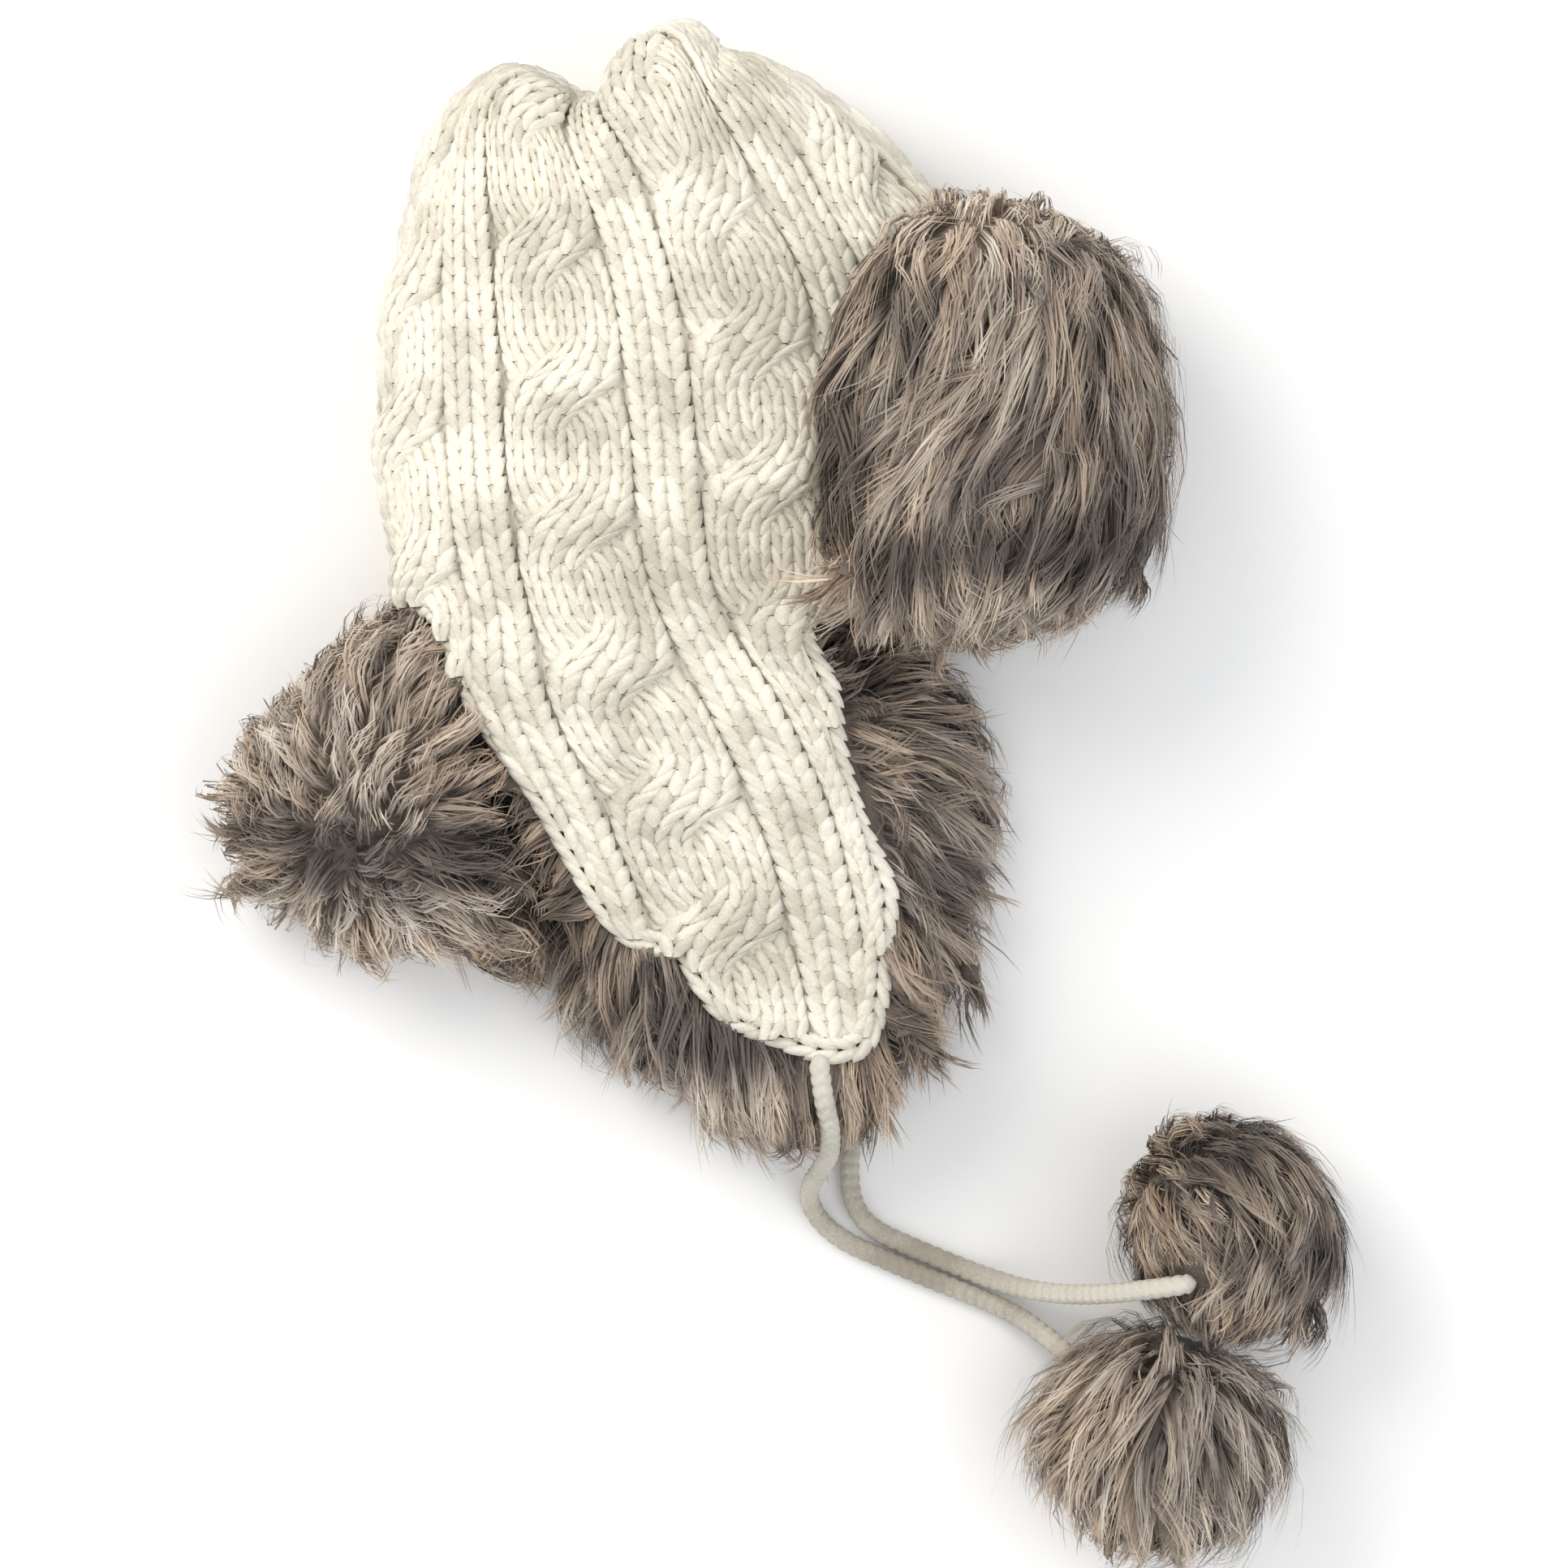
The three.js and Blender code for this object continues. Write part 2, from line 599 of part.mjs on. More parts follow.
// The room that a tie takes with the gap round it, also past its two ends
function tieRoom(route) {
  let room = toSolid(tie(route, TIE_RADIUS + CLEAR));
  for (const end of [route[0], route[route.length - 1]]) {
    const ball = new THREE.SphereGeometry(TIE_RADIUS + 2 * CLEAR, 10, 8);
    ball.translate(...end);
    room = room.add(toSolid(ball));
  }
  return room;
}

// A fur ball on the end of a tie, turned so that its locks lie away from the tie
function pompom(centre, turn, salt) {
  const rows = [];
  for (let i = 0; i <= POMPOM_ROWS; i += 1) {
    const y = POMPOM_RADIUS * Math.cos(Math.PI * i / POMPOM_ROWS);
    const half = Math.max(Math.sqrt(POMPOM_RADIUS ** 2 - y * y), POMPOM_END);
    rows.push({ y: y, back: -half, front: half, low: -half, high: half });
  }
  const ball = furBody(rows, { ...POMPOM_LOCKS, salt: salt });
  ball.rotateX(turn.x);
  ball.rotateZ(turn.z);
  ball.translate(centre.x, centre.y, centre.z);
  return toSolid(ball);
}

function piece(name, geometry, material) {
  const mesh = new THREE.Mesh(geometry, material);
  mesh.name = name;
  return mesh;
}

const shellRoom = toSolid(knitShell(CLEAR));
const headRoom = toSolid(headSpace()).add(shellRoom);
const nearTieRoom = tieRoom(NEAR_TIE_ROUTE);
const farTieRoom = tieRoom(FAR_TIE_ROUTE);
const belowSurface = halfSpace(new THREE.Vector3(0, 0, 0), new THREE.Vector3(0, 0, -1));
const aboveMeeting = halfSpace(new THREE.Vector3(0, 0, FURS_MEET - CLEAR / 2), new THREE.Vector3(0, 0, 1));
const belowMeeting = halfSpace(new THREE.Vector3(0, 0, FURS_MEET + CLEAR / 2), new THREE.Vector3(0, 0, -1));
const aboveRim = halfSpace(new THREE.Vector3(0, UNDER_RIM - CLEAR / 2, 0), new THREE.Vector3(0, 1, 0));
const belowRim = halfSpace(new THREE.Vector3(0, UNDER_RIM + CLEAR / 2, 0), new THREE.Vector3(0, -1, 0));
const neckAlong = NECK_LINE[1].clone().sub(NECK_LINE[0]).normalize();
const neckPoint = new THREE.Vector3(NECK_LINE[0].x, NECK_LINE[0].y, 0);
const neckAcross = new THREE.Vector3(-neckAlong.y, neckAlong.x, 0);
const frontOfNeck = halfSpace(neckPoint.clone().addScaledVector(neckAcross, -CLEAR / 2), neckAcross);
const behindNeck = halfSpace(neckPoint.clone().addScaledVector(neckAcross, CLEAR / 2),
  neckAcross.clone().negate());

function brimFur() {
  return mainBody(toSolid(furBody(BRIM_FUR, BRIM_LOCKS)).subtract(headRoom)
    .subtract(belowRim).subtract(belowSurface));
}

function flapFur(table, locks) {
  return toSolid(furBody(table, locks)).subtract(shellRoom).subtract(behindNeck)
    .subtract(aboveRim).subtract(nearTieRoom);
}

function farFlapFur() {
  const body = flapFur(FAR_FLAP_FUR, FLAP_LOCKS);
  return mainBody(body.subtract(aboveMeeting).subtract(farTieRoom).subtract(belowSurface));
}

function nearFlapFur() {
  return mainBody(flapFur(NEAR_FLAP_FUR, { ...FLAP_LOCKS, salt: 9 }).subtract(belowMeeting));
}

function neckFur() {
  const body = toSolid(furBody(NECK_FUR, NECK_LOCKS)).subtract(shellRoom);
  return mainBody(body.subtract(frontOfNeck).subtract(belowSurface));
}

// Each pompom keeps to its own side of the plane halfway between them
function pompoms() {
  const between = NEAR_POMPOM.clone().add(FAR_POMPOM).multiplyScalar(0.5);
  const across = FAR_POMPOM.clone().sub(NEAR_POMPOM).normalize();
  const farSide = halfSpace(between.clone().addScaledVector(across, -CLEAR / 2), across);
  const nearSide = halfSpace(between.clone().addScaledVector(across, CLEAR / 2), across.clone().negate());
  const cut = (ball, other) => mainBody(
    ball.subtract(other).subtract(nearTieRoom).subtract(farTieRoom).subtract(belowSurface));
  const near = pompom(NEAR_POMPOM, { x: 0.6, z: 0.7 }, 1);
  const far = pompom(FAR_POMPOM, { x: -0.5, z: 1.6 }, 5);
  return [cut(near, farSide), cut(far, nearSide)];
}

const [nearBall, farBall] = pompoms();
const group = new THREE.Group();
group.position.copy(MIDDLE).negate();
group.add(
  piece('knit_shell', knitShell(0), CREAM_WOOL),
  piece('front_brim_fur', toGeometry(brimFur()), BROWN_FUR),
  piece('near_flap_fur', toGeometry(nearFlapFur()), BROWN_FUR),
  piece('far_flap_fur', toGeometry(farFlapFur()), BROWN_FUR),
  piece('neck_fur', toGeometry(neckFur()), BROWN_FUR),
  piece('near_tie', tie(NEAR_TIE_ROUTE, TIE_RADIUS), CREAM_CORD),
  piece('far_tie', tie(FAR_TIE_ROUTE, TIE_RADIUS), CREAM_CORD),
  piece('near_pompom', toGeometry(nearBall), BROWN_FUR),
  piece('far_pompom', toGeometry(farBall), BROWN_FUR),
);

export default group;
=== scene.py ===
# A cable knit trapper hat lying on its left side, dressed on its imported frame.
# Metres. +X is the way the face looks, +Y is towards the top of the crown, +Z is up.
import math

import bpy
import numpy as np
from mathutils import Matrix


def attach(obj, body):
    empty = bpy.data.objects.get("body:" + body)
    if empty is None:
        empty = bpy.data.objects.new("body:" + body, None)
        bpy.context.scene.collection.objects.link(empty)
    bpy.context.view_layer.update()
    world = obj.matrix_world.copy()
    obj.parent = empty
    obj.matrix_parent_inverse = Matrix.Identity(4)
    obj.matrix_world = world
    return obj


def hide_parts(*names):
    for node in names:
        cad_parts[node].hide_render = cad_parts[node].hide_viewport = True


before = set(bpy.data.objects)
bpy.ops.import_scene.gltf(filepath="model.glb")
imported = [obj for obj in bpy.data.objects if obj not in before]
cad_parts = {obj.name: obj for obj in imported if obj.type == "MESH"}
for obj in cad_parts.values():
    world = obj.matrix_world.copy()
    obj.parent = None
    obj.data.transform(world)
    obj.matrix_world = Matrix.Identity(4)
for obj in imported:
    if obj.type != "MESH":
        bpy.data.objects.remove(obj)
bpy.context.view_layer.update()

# Camera. It looks straight down on the hat, as the photograph was taken, through a long lens
# from far enough off that the thick hat keeps its outline.
PICTURE_WIDTH = 0.510
PICTURE_MIDDLE = (0.0303, -0.0616)
MIDDLE_HEIGHT = 0.045
LENS, SENSOR = 200.0, 36.0              # millimetres

camera = bpy.data.objects.new("camera", bpy.data.cameras.new("camera"))
camera.data.lens = LENS
camera.data.sensor_width = SENSOR
camera.data.clip_end = 20               # metres
camera.location = (*PICTURE_MIDDLE, MIDDLE_HEIGHT + PICTURE_WIDTH * LENS / SENSOR)
bpy.context.scene.collection.objects.link(camera)
bpy.context.scene.camera = camera

# The two ties. Each is a thin tube knitted from the same soft yarn, about 6.5 mm thick. It is
# sewn to the tip of an ear flap, lies on the surface in a loose bend, and ends in its pompom.
MIDDLE = np.array([29.4, -61.4, 0.0])   # of the hat's box, in the millimetres its shape is drawn in
TIE_RADIUS = 3.25
TIE_WALES = 4
TIE_STITCH = 3.8            # height of one stitch
TIE_RELIEF = 0.9            # how deep it lies between two stitches
TIE_SIDES = 20
TIE_STEP = 0.6              # from one ring of the tube to the next
TIE_END = 3.0               # how far its ends are rounded
ON_FLOOR = 0.1              # no point of it lies lower than this
NEAR_TIE_ROUTE = [
    (70.8, -210.4, 57), (71.5, -217, 56.5), (72.8, -226, 54), (74.6, -235, 47), (74.5, -243, 36),
    (71.5, -249.5, 24), (68.6, -255, 12.5), (68.4, -260.8, 5.6), (71.4, -266.6, 3.6),
    (76.6, -271.6, 3.4), (83, -275.4, 3.4), (92, -279.4, 3.4), (104, -284.6, 3.4),
    (116, -289.4, 3.4), (127, -293.8, 3.8), (137, -298.6, 7), (146, -304.8, 14),
    (154, -311.2, 22), (160, -316.4, 28),
]
FAR_TIE_ROUTE = [
    (83, -210.6, 3.4), (83.5, -219, 3.4), (83, -229, 3.4), (82, -240, 3.4), (81.4, -250, 3.4),
    (82.2, -259, 3.4), (85.6, -266.2, 3.4), (91.5, -271, 3.4), (100, -275, 3.4),
    (110, -279.2, 3.4), (119, -282.8, 3.8), (128, -286, 7.5), (138, -288.6, 15),
    (149, -289.8, 26), (160, -289.4, 38.5), (169, -288.2, 49), (177, -286.8, 57),
    (185, -285.4, 62.5), (193, -284, 65),
]
# Where the ties are greyer and whiter: x, y, half sizes across and up, strength
TIE_SHADES = [(102, -283, 30, 14, -0.9), (186, -287, 26, 9, 0.9), (76, -228, 12, 22, 0.3)]


def to_frame(points):
    """Points in the hat's own millimetres, as metres in the row frame."""
    return (np.asarray(points, float) - MIDDLE) * 0.001


def unit(vectors):
    """Vectors along the last axis, scaled to length one."""
    return vectors / np.maximum(np.linalg.norm(vectors, axis=-1, keepdims=True), 1e-9)


def read_smooth(places, values, at):
    """Values of a table at new places: a cubic between rows, whose slope at each row is that of
    the line through the rows on either side of it."""
    places = np.asarray(places, float)
    values = np.asarray(values, float)
    last = len(places) - 1
    i = np.clip(np.searchsorted(places, at) - 1, 0, last - 1)
    before = np.maximum(i - 1, 0)
    after = np.minimum(i + 2, last)
    span = places[i + 1] - places[i]
    t = np.clip((at - places[i]) / span, 0, 1)
    shape = (slice(None),) + (None,) * (values.ndim - 1)
    t, span = t[shape], span[shape]
    into = (values[i + 1] - values[before]) / (places[i + 1] - places[before])[shape] * span
    out_of = (values[after] - values[i]) / (places[after] - places[i])[shape] * span
    return ((2 * t**3 - 3 * t**2 + 1) * values[i] + (t**3 - 2 * t**2 + t) * into
            + (3 * t**2 - 2 * t**3) * values[i + 1] + (t**3 - t**2) * out_of)


def patches(points, places):
    """The sum of soft round patches: x, y, half sizes across and up, and strength."""
    total = np.zeros(points.shape[:-1])
    for x, y, half_x, half_y, strength in places:
        total += strength * np.exp(-((points[..., 0] - x) / half_x) ** 2
                                   - ((points[..., 1] - y) / half_y) ** 2)
    return total


def run_along(line):
    """How far along a line each of its points is."""
    return np.concatenate([[0], np.cumsum(np.linalg.norm(np.diff(line, axis=0), axis=1))])


def smooth_route(route, step):
    """A smooth line through a route's points, cut every step millimetres."""
    run = run_along(route)
    return read_smooth(run, route, np.linspace(0, run[-1], int(run[-1] / step) + 1))


def ring_quads(rings, sides):
    """Corners of the quads between the rings of a tube, each of which closes on itself."""
    r, s = np.meshgrid(np.arange(rings - 1), np.arange(sides), indexing="ij")
    a = r * sides + s
    b = r * sides + (s + 1) % sides
    return np.stack([a, b, b + sides, a + sides], -1).reshape(-1, 4)


def make_piece(name, points, quads, tris, material, slot, spread, marks):
    """A mesh object from points in the hat's millimetres and its faces. spread is its UV map, a
    pair for each point, or None. marks are its named attributes, a number for each point."""
    quads = np.asarray(quads, np.int32).reshape(-1, 4)
    tris = np.asarray(tris, np.int32).reshape(-1, 3)
    corners = np.concatenate([quads.ravel(), tris.ravel()])
    starts = np.concatenate([np.arange(len(quads)) * 4, 4 * len(quads) + np.arange(len(tris)) * 3])
    mesh = bpy.data.meshes.new(name)
    mesh.vertices.add(len(points))
    mesh.vertices.foreach_set("co", to_frame(points).astype(np.float32).ravel())
    mesh.loops.add(len(corners))
    mesh.loops.foreach_set("vertex_index", corners)
    mesh.polygons.add(len(starts))
    mesh.polygons.foreach_set("loop_start", starts.astype(np.int32))
    mesh.update(calc_edges=True)
    mesh.polygons.foreach_set("use_smooth", np.ones(len(starts), bool))
    if spread is not None:
        layer = mesh.uv_layers.new(name="along_yarn")
        layer.data.foreach_set("uv", np.asarray(spread, np.float32)[corners].ravel())
    for mark, values in marks.items():
        attribute = mesh.attributes.new(mark, "FLOAT", "POINT")
        attribute.data.foreach_set("value", np.asarray(values, np.float32))
    mesh.materials.append(material)
    piece = bpy.data.objects.new(name, mesh)
    bpy.context.scene.collection.objects.link(piece)
    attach(piece, "root")
    return piece


def linear(colour):
    """An sRGB hex colour as linear red, green, blue and alpha."""
    parts = [int(colour[i:i + 2], 16) / 255 for i in (1, 3, 5)]
    return (*[p / 12.92 if p <= 0.04045 else ((p + 0.055) / 1.055) ** 2.4 for p in parts], 1.0)


def add_node(material, kind, inputs=None, **settings):
    """A node of this kind in the material, with its settings, and values or links for inputs."""
    tree = material.node_tree
    node = tree.nodes.new(kind)
    for key, value in settings.items():
        setattr(node, key, value)
    for key, value in (inputs or {}).items():
        if isinstance(value, bpy.types.NodeSocket):
            tree.links.new(value, node.inputs[key])
        else:
            node.inputs[key].default_value = value
    return node


def new_material(name, surface):
    """A node material with its output, and the shader that feeds it, which has these values."""
    material = bpy.data.materials.new(name)
    material.use_nodes = True
    material.node_tree.nodes.clear()
    shader = add_node(material, "ShaderNodeBsdfPrincipled", surface)
    add_node(material, "ShaderNodeOutputMaterial", {"Surface": shader.outputs["BSDF"]})
    return material, shader


# Wool and acrylic yarn, three plies loosely twisted and brushed: matt, with a soft halo.
PLIES = 3.0
HEATHER_MILLIMETRES = 26    # size of the greyer and whiter patches of the yarn


def plied_yarn(name, light, dark, ply_millimetres, fibre_millimetres):
    """A matt yarn material. Its twist is a wave across the yarn map, whose v is millimetres
    along the yarn and whose u is turns round it, and its fibres are a fine noise."""
    material, shader = new_material(name, {
        "Roughness": 0.95, "IOR": 1.45, "Specular IOR Level": 0.2, "Sheen Weight": 0.25,
        "Sheen Roughness": 0.6})
    links = material.node_tree.links
    place = add_node(material, "ShaderNodeTexCoord")
    tone = add_node(material, "ShaderNodeAttribute", attribute_name="tone")
    fibre = add_node(material, "ShaderNodeTexNoise",
                     {"Vector": place.outputs["Object"], "Scale": 1000 / fibre_millimetres,
                      "Detail": 3.0, "Roughness": 0.6})
    patch = add_node(material, "ShaderNodeTexNoise",
                     {"Vector": place.outputs["Object"], "Scale": 1000 / HEATHER_MILLIMETRES,
                      "Detail": 2.0})
    both = add_node(material, "ShaderNodeMath",
                    {0: fibre.outputs["Fac"], 1: tone.outputs["Fac"]}, operation="ADD")
    all_four = add_node(material, "ShaderNodeMath",
                        {0: patch.outputs["Fac"], 1: 2.0, 2: both.outputs[0]},
                        operation="MULTIPLY_ADD")
    quarter = add_node(material, "ShaderNodeMath", {0: all_four.outputs[0], 1: 0.25},
                       operation="MULTIPLY")
    ramp = add_node(material, "ShaderNodeValToRGB", {"Fac": quarter.outputs[0]})
    for stop, position, colour in zip(ramp.color_ramp.elements, (0.34, 0.58), (dark, light)):
        stop.position, stop.color = position, linear(colour)
    links.new(ramp.outputs["Color"], shader.inputs["Base Color"])
    twist = add_node(material, "ShaderNodeMapping",
                     {"Vector": place.outputs["UV"], "Scale": (PLIES, 1 / ply_millimetres, 1.0)})
    strands = add_node(material, "ShaderNodeTexWave", {"Vector": twist.outputs["Vector"],
                       "Scale": 0.32, "Distortion": 1.2, "Detail": 1.0}, bands_direction="DIAGONAL")
    bump = add_node(material, "ShaderNodeBump", {"Height": strands.outputs["Fac"],
                                                 "Strength": 0.35, "Distance": 0.0006})
    fuzz = add_node(material, "ShaderNodeBump",
                    {"Height": fibre.outputs["Fac"], "Normal": bump.outputs["Normal"],
                     "Strength": 0.5, "Distance": 0.0005})
    links.new(fuzz.outputs["Normal"], shader.inputs["Normal"])
    return material


def knitted_tube(route):
    """Points of a knitted tube along a route: rings across it, whose radius swells by the two
    slanting legs of every V stitch. Also the yarn map and the line it follows."""
    line = smooth_route(route, TIE_STEP)
    run = run_along(line)
    along = unit(np.gradient(line, axis=0))
    side = unit(np.cross(along, np.array([0.0, 0.0, 1.0]) + 0.001))
    up = np.cross(side, along)
    angle = np.arange(TIE_SIDES) * 2 * np.pi / TIE_SIDES
    wale = angle * TIE_WALES / (2 * np.pi)
    off = np.abs((wale % 1) - 0.5)
    leg = np.clip(1 - (np.abs(off - 0.25) / 0.27) ** 2, 0, 1) ** 0.5
    row = (run[:, None] / TIE_STITCH + off[None, :]) % 1
    bulge = np.clip(1 - (np.abs(row - 0.5) / 0.54) ** 2, 0, 1) ** 0.5
    ends = np.clip(np.minimum(run, run[-1] - run) / TIE_END, 0, 1) ** 0.5
    radius = (TIE_RADIUS - TIE_RELIEF + 1.3 * TIE_RELIEF * leg[None, :] * bulge) * ends[:, None]
    points = (line[:, None, :] + side[:, None, :] * (radius * np.cos(angle))[..., None]
              + up[:, None, :] * (radius * np.sin(angle))[..., None])
    points[..., 2] = np.maximum(points[..., 2], ON_FLOOR)
    spread = np.stack(np.broadcast_arrays(angle / (2 * np.pi), run[:, None]), -1)
    return points, spread.reshape(-1, 2), line


cord_yarn = plied_yarn("soft_knitted_cord", light="#cfcabd", dark="#9f9788",
                       ply_millimetres=2.0, fibre_millimetres=0.8)
tie_lines = {}
for name, route in (("near_tie", NEAR_TIE_ROUTE), ("far_tie", FAR_TIE_ROUTE)):
    tube, tube_map, tie_line = knitted_tube(route)
    tube_points = tube.reshape(-1, 3)
    make_piece(
        name + "_cord", tube_points, ring_quads(len(tube), TIE_SIDES)[:, ::-1], [],
        cord_yarn, "cream_cord", tube_map, {"tone": 0.5 + patches(tube_points, TIE_SHADES)})
    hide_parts(name)
    tie_lines[name] = to_frame(tie_line[::4])

# The knit: crown and both ear flaps in one cable pattern, thick soft yarn on big needles. Two
# stitch ribs stand between cables of six, whose halves cross over each other every eight rows.
# Under the stitches lies a plain wall, which closes the knit and lines it on the inside.
WALL = 6.0                  # thickness of the knit
REPEAT = 64.7               # width of one rib and one cable side by side
REPEATS = 8
HALF_ROUND = REPEAT * REPEATS / 2
QUARTER_ROUND = HALF_ROUND / 2
GUTTER = 11.9               # from the middle of a rib to the gutter beside it
GUTTER_DEPTH = 2.2
RIB_HALF = 10.8             # half the width of a rib
RIB_RISE = 1.2
STRAND_HALF = 11.6          # half the width of one half of a cable
STRAND_OFFSET = 10.9        # from the cable's middle to the middle of that half
STRAND_RISE = 2.4
CROSS_EVERY = 45.0          # from one crossing to the next
CROSS_LENGTH = 34.0         # of which the crossing itself takes this much
CROSS_LIFT = 2.6
FIRST_CROSS, CROSS_SHIFT = 96, 14       # how far down, and how much less in each next cable
PATTERN_FROM, PATTERN_TO = 4, 30        # where the pattern rises out of the gathered top
OVALNESS = 2.4              # exponent of the rounded sections
RIM = 209.5                 # from the gathered top down to the rim
LEVEL_DOWN = 196            # down to here the wall's rows of points are level
LEVEL_ROWS, FLAP_ROWS, WALL_COLUMNS = 56, 36, 288
INNER_ROWS = [*range(8, 49, 8), *range(55, 92, 6)]      # rows that the inner face takes too
NOSE_LIFT, NOSE_FROM, NOSE_TO = 20.0, 50.0, 105.0       # of the crown's front, off the surface
GRID_STEP = 1.5             # of the grid that holds the wall's points
GRID_END = 373.6
ROW = 5.6                   # height of one stitch
RIB_WALE = 10.3             # width of one stitch in a rib
CABLE_WALE = 7.4            # and in a cable
STITCH_DEPTH = 3.5          # how far the wall lies in from the knit's outline
STITCH_RELIEF = 1.8         # how much more where the hat lies on its stitches

# down along the knit, y, back, front, low, high, near rib, far rib, spread
SECTIONS = np.array([
    (0, 106, 14, 14, 44, 44, 14, 14, 1),
    (20, 108, -10, 34, 22, 65, 3, 14, 1),
    (34, 106, -26, 52, 8, 79, -4, 16, 1),
    (44, 101, -40, 66, -2, 86, -5, 18, 1),
    (56, 91, -51, 84, -8, 91, -3, 22, 1),
    (76, 70, -60, 107, -12, 94, 4, 28, 1),
    (104, 42, -68, 127, -14, 95, 13, 34, 1),
    (133, 13, -72, 138, -14, 95, 18, 36, 1),
    (159, -13, -73, 141, -14, 95, 21, 38, 1),
    (183, -37, -71, 141, -14, 95, 23, 40, 1),
    (209.5, -63, -67, 136, -14, 93, 28, 42, 1),
    (245, -98, -68, 137, -14, 85, 47, 57, 1.15),
    (279, -130, -64, 137, -14, 75, 62, 72, 1.13),
    (316, -165, -60, 137, -14, 66, 72, 82, 1.06),
    (362, -209, -56, 137, -14, 60, 80, 92, 1),
    (374, -220.5, -55, 137, -14, 58.5, 81.5, 93.5, 1),
])
# Where the knit of an ear flap ends: around from its middle rib, and down
FLAP_EDGE = np.array([
    (-104, 209.5), (-92, 213), (-84, 221), (-78, 233), (-74, 250), (-70, 272), (-66, 308),
    (-62, 320), (-55, 325), (-45, 326), (-40.5, 340), (-35, 349.5), (-24, 355), (-9, 361),
    (3, 360), (10, 348), (15, 326),
    (19.5, 308), (15.5, 285), (17.5, 259), (25.5, 236), (35, 217), (48, 209.5),
])
# Humps along the gathered top: x, lift, half width
TOP_FOLDS = [(19, 13, 14), (52, 4.5, 18), (0, -11, 18), (-36, 3, 12)]
# Dents in the near side: x, y, half sizes, depth
DENTS = [(-6, 97, 10, 20, 7), (34, 92, 26, 22, -5), (72, 84, 10, 26, 4), (44, -70, 12, 30, 3)]


def smooth(low, high, value):
    """0 at low and before it, 1 at high and past it, and a smooth step between."""
    t = np.clip((value - low) / (high - low), 0, 1)
    return t * t * (3 - 2 * t)


def underside(x, y):
    """Height of the crown's underside over the surface: flat, and lifted at the front."""
    return NOSE_LIFT * smooth(NOSE_FROM, NOSE_TO, x) * smooth(-112, -72, y)


GRID_DOWN = np.arange(0, GRID_END, GRID_STEP)
GRID_AROUND = np.linspace(-HALF_ROUND, HALF_ROUND, 389)


def wall_grid(inset):
    """The plain wall as points on a grid of places down and around the knit, and which way each
    faces. Every section is a rounded oval, cut off flat below, and a place around it is a length
    along that oval from the middle rib of the nearer side."""
    row = read_smooth(SECTIONS[:, 0], SECTIONS[:, 1:], GRID_DOWN)
    y, back, front, low, high, near_rib, far_rib, spread = row.T
    half = 360      # points along half a section
    angle = np.linspace(0, 2 * np.pi, 2 * half + 1)
    x, z = (((most + least) / 2)[:, None] + np.maximum((most - least) / 2 - inset, 0.01)[:, None]
            * np.sign(wave) * np.abs(wave) ** (2 / OVALNESS)
            for least, most, wave in ((back, front, np.cos(angle)), (low, high, np.sin(angle))))
    z = np.maximum(z, underside(x, y[:, None]) + inset)
    steps = np.hypot(np.diff(x), np.diff(z))
    run = np.concatenate([np.zeros((len(y), 1)), np.cumsum(steps, axis=1)], axis=1)
    length = run[:, -1]
    near_run, far_run = (
        np.array([np.interp(sign * rib, sign * xs[part], rs[part])
                  for rib, xs, rs in zip(ribs, x, run)])
        for sign, ribs, part in ((-1, near_rib, slice(half)), (1, far_rib, slice(half, None))))
    around = GRID_AROUND[None, :]
    to_face = around >= 0
    natural = np.where(to_face, ((near_run + length - far_run) / HALF_ROUND)[:, None],
                       ((far_run - near_run) / HALF_ROUND)[:, None])
    below = smooth(RIM, RIM + 30, GRID_DOWN)[:, None]
    stretch = natural + (spread[:, None] - natural) * below
    near_half = np.abs(around) <= QUARTER_ROUND
    reach = np.where(near_half, np.abs(around), HALF_ROUND - np.abs(around)) * stretch
    reach = np.where(to_face == near_half, -reach, reach)
    at = (np.where(near_half, near_run[:, None], far_run[:, None]) + reach) % length[:, None]
    px, pz = (np.array([np.interp(a, rs, vs) for a, rs, vs in zip(at, run, values)])
              for values in (x, z))
    py = np.broadcast_to(y[:, None], px.shape).copy()
    on_top = (smooth(0, 18, GRID_DOWN) * (1 - smooth(30, 95, GRID_DOWN)))[:, None]
    for fold_x, lift, half_width in TOP_FOLDS:
        py += lift * on_top * np.exp(-(((px - fold_x) / half_width) ** 4))
    dent = sum(depth * np.exp(-((px - x0) / half_x0) ** 2 - ((py - y0) / half_y0) ** 2)
               for x0, y0, half_x0, half_y0, depth in DENTS)
    pz = pz - dent * smooth(45, 80, pz)
    points = np.stack([px, py, pz], -1)
    faces_out = unit(np.cross(np.gradient(points, axis=0), np.gradient(points, axis=1)))
    return points, faces_out


outer_wall = wall_grid(STITCH_DEPTH)
inner_wall = wall_grid(WALL + 1.5)


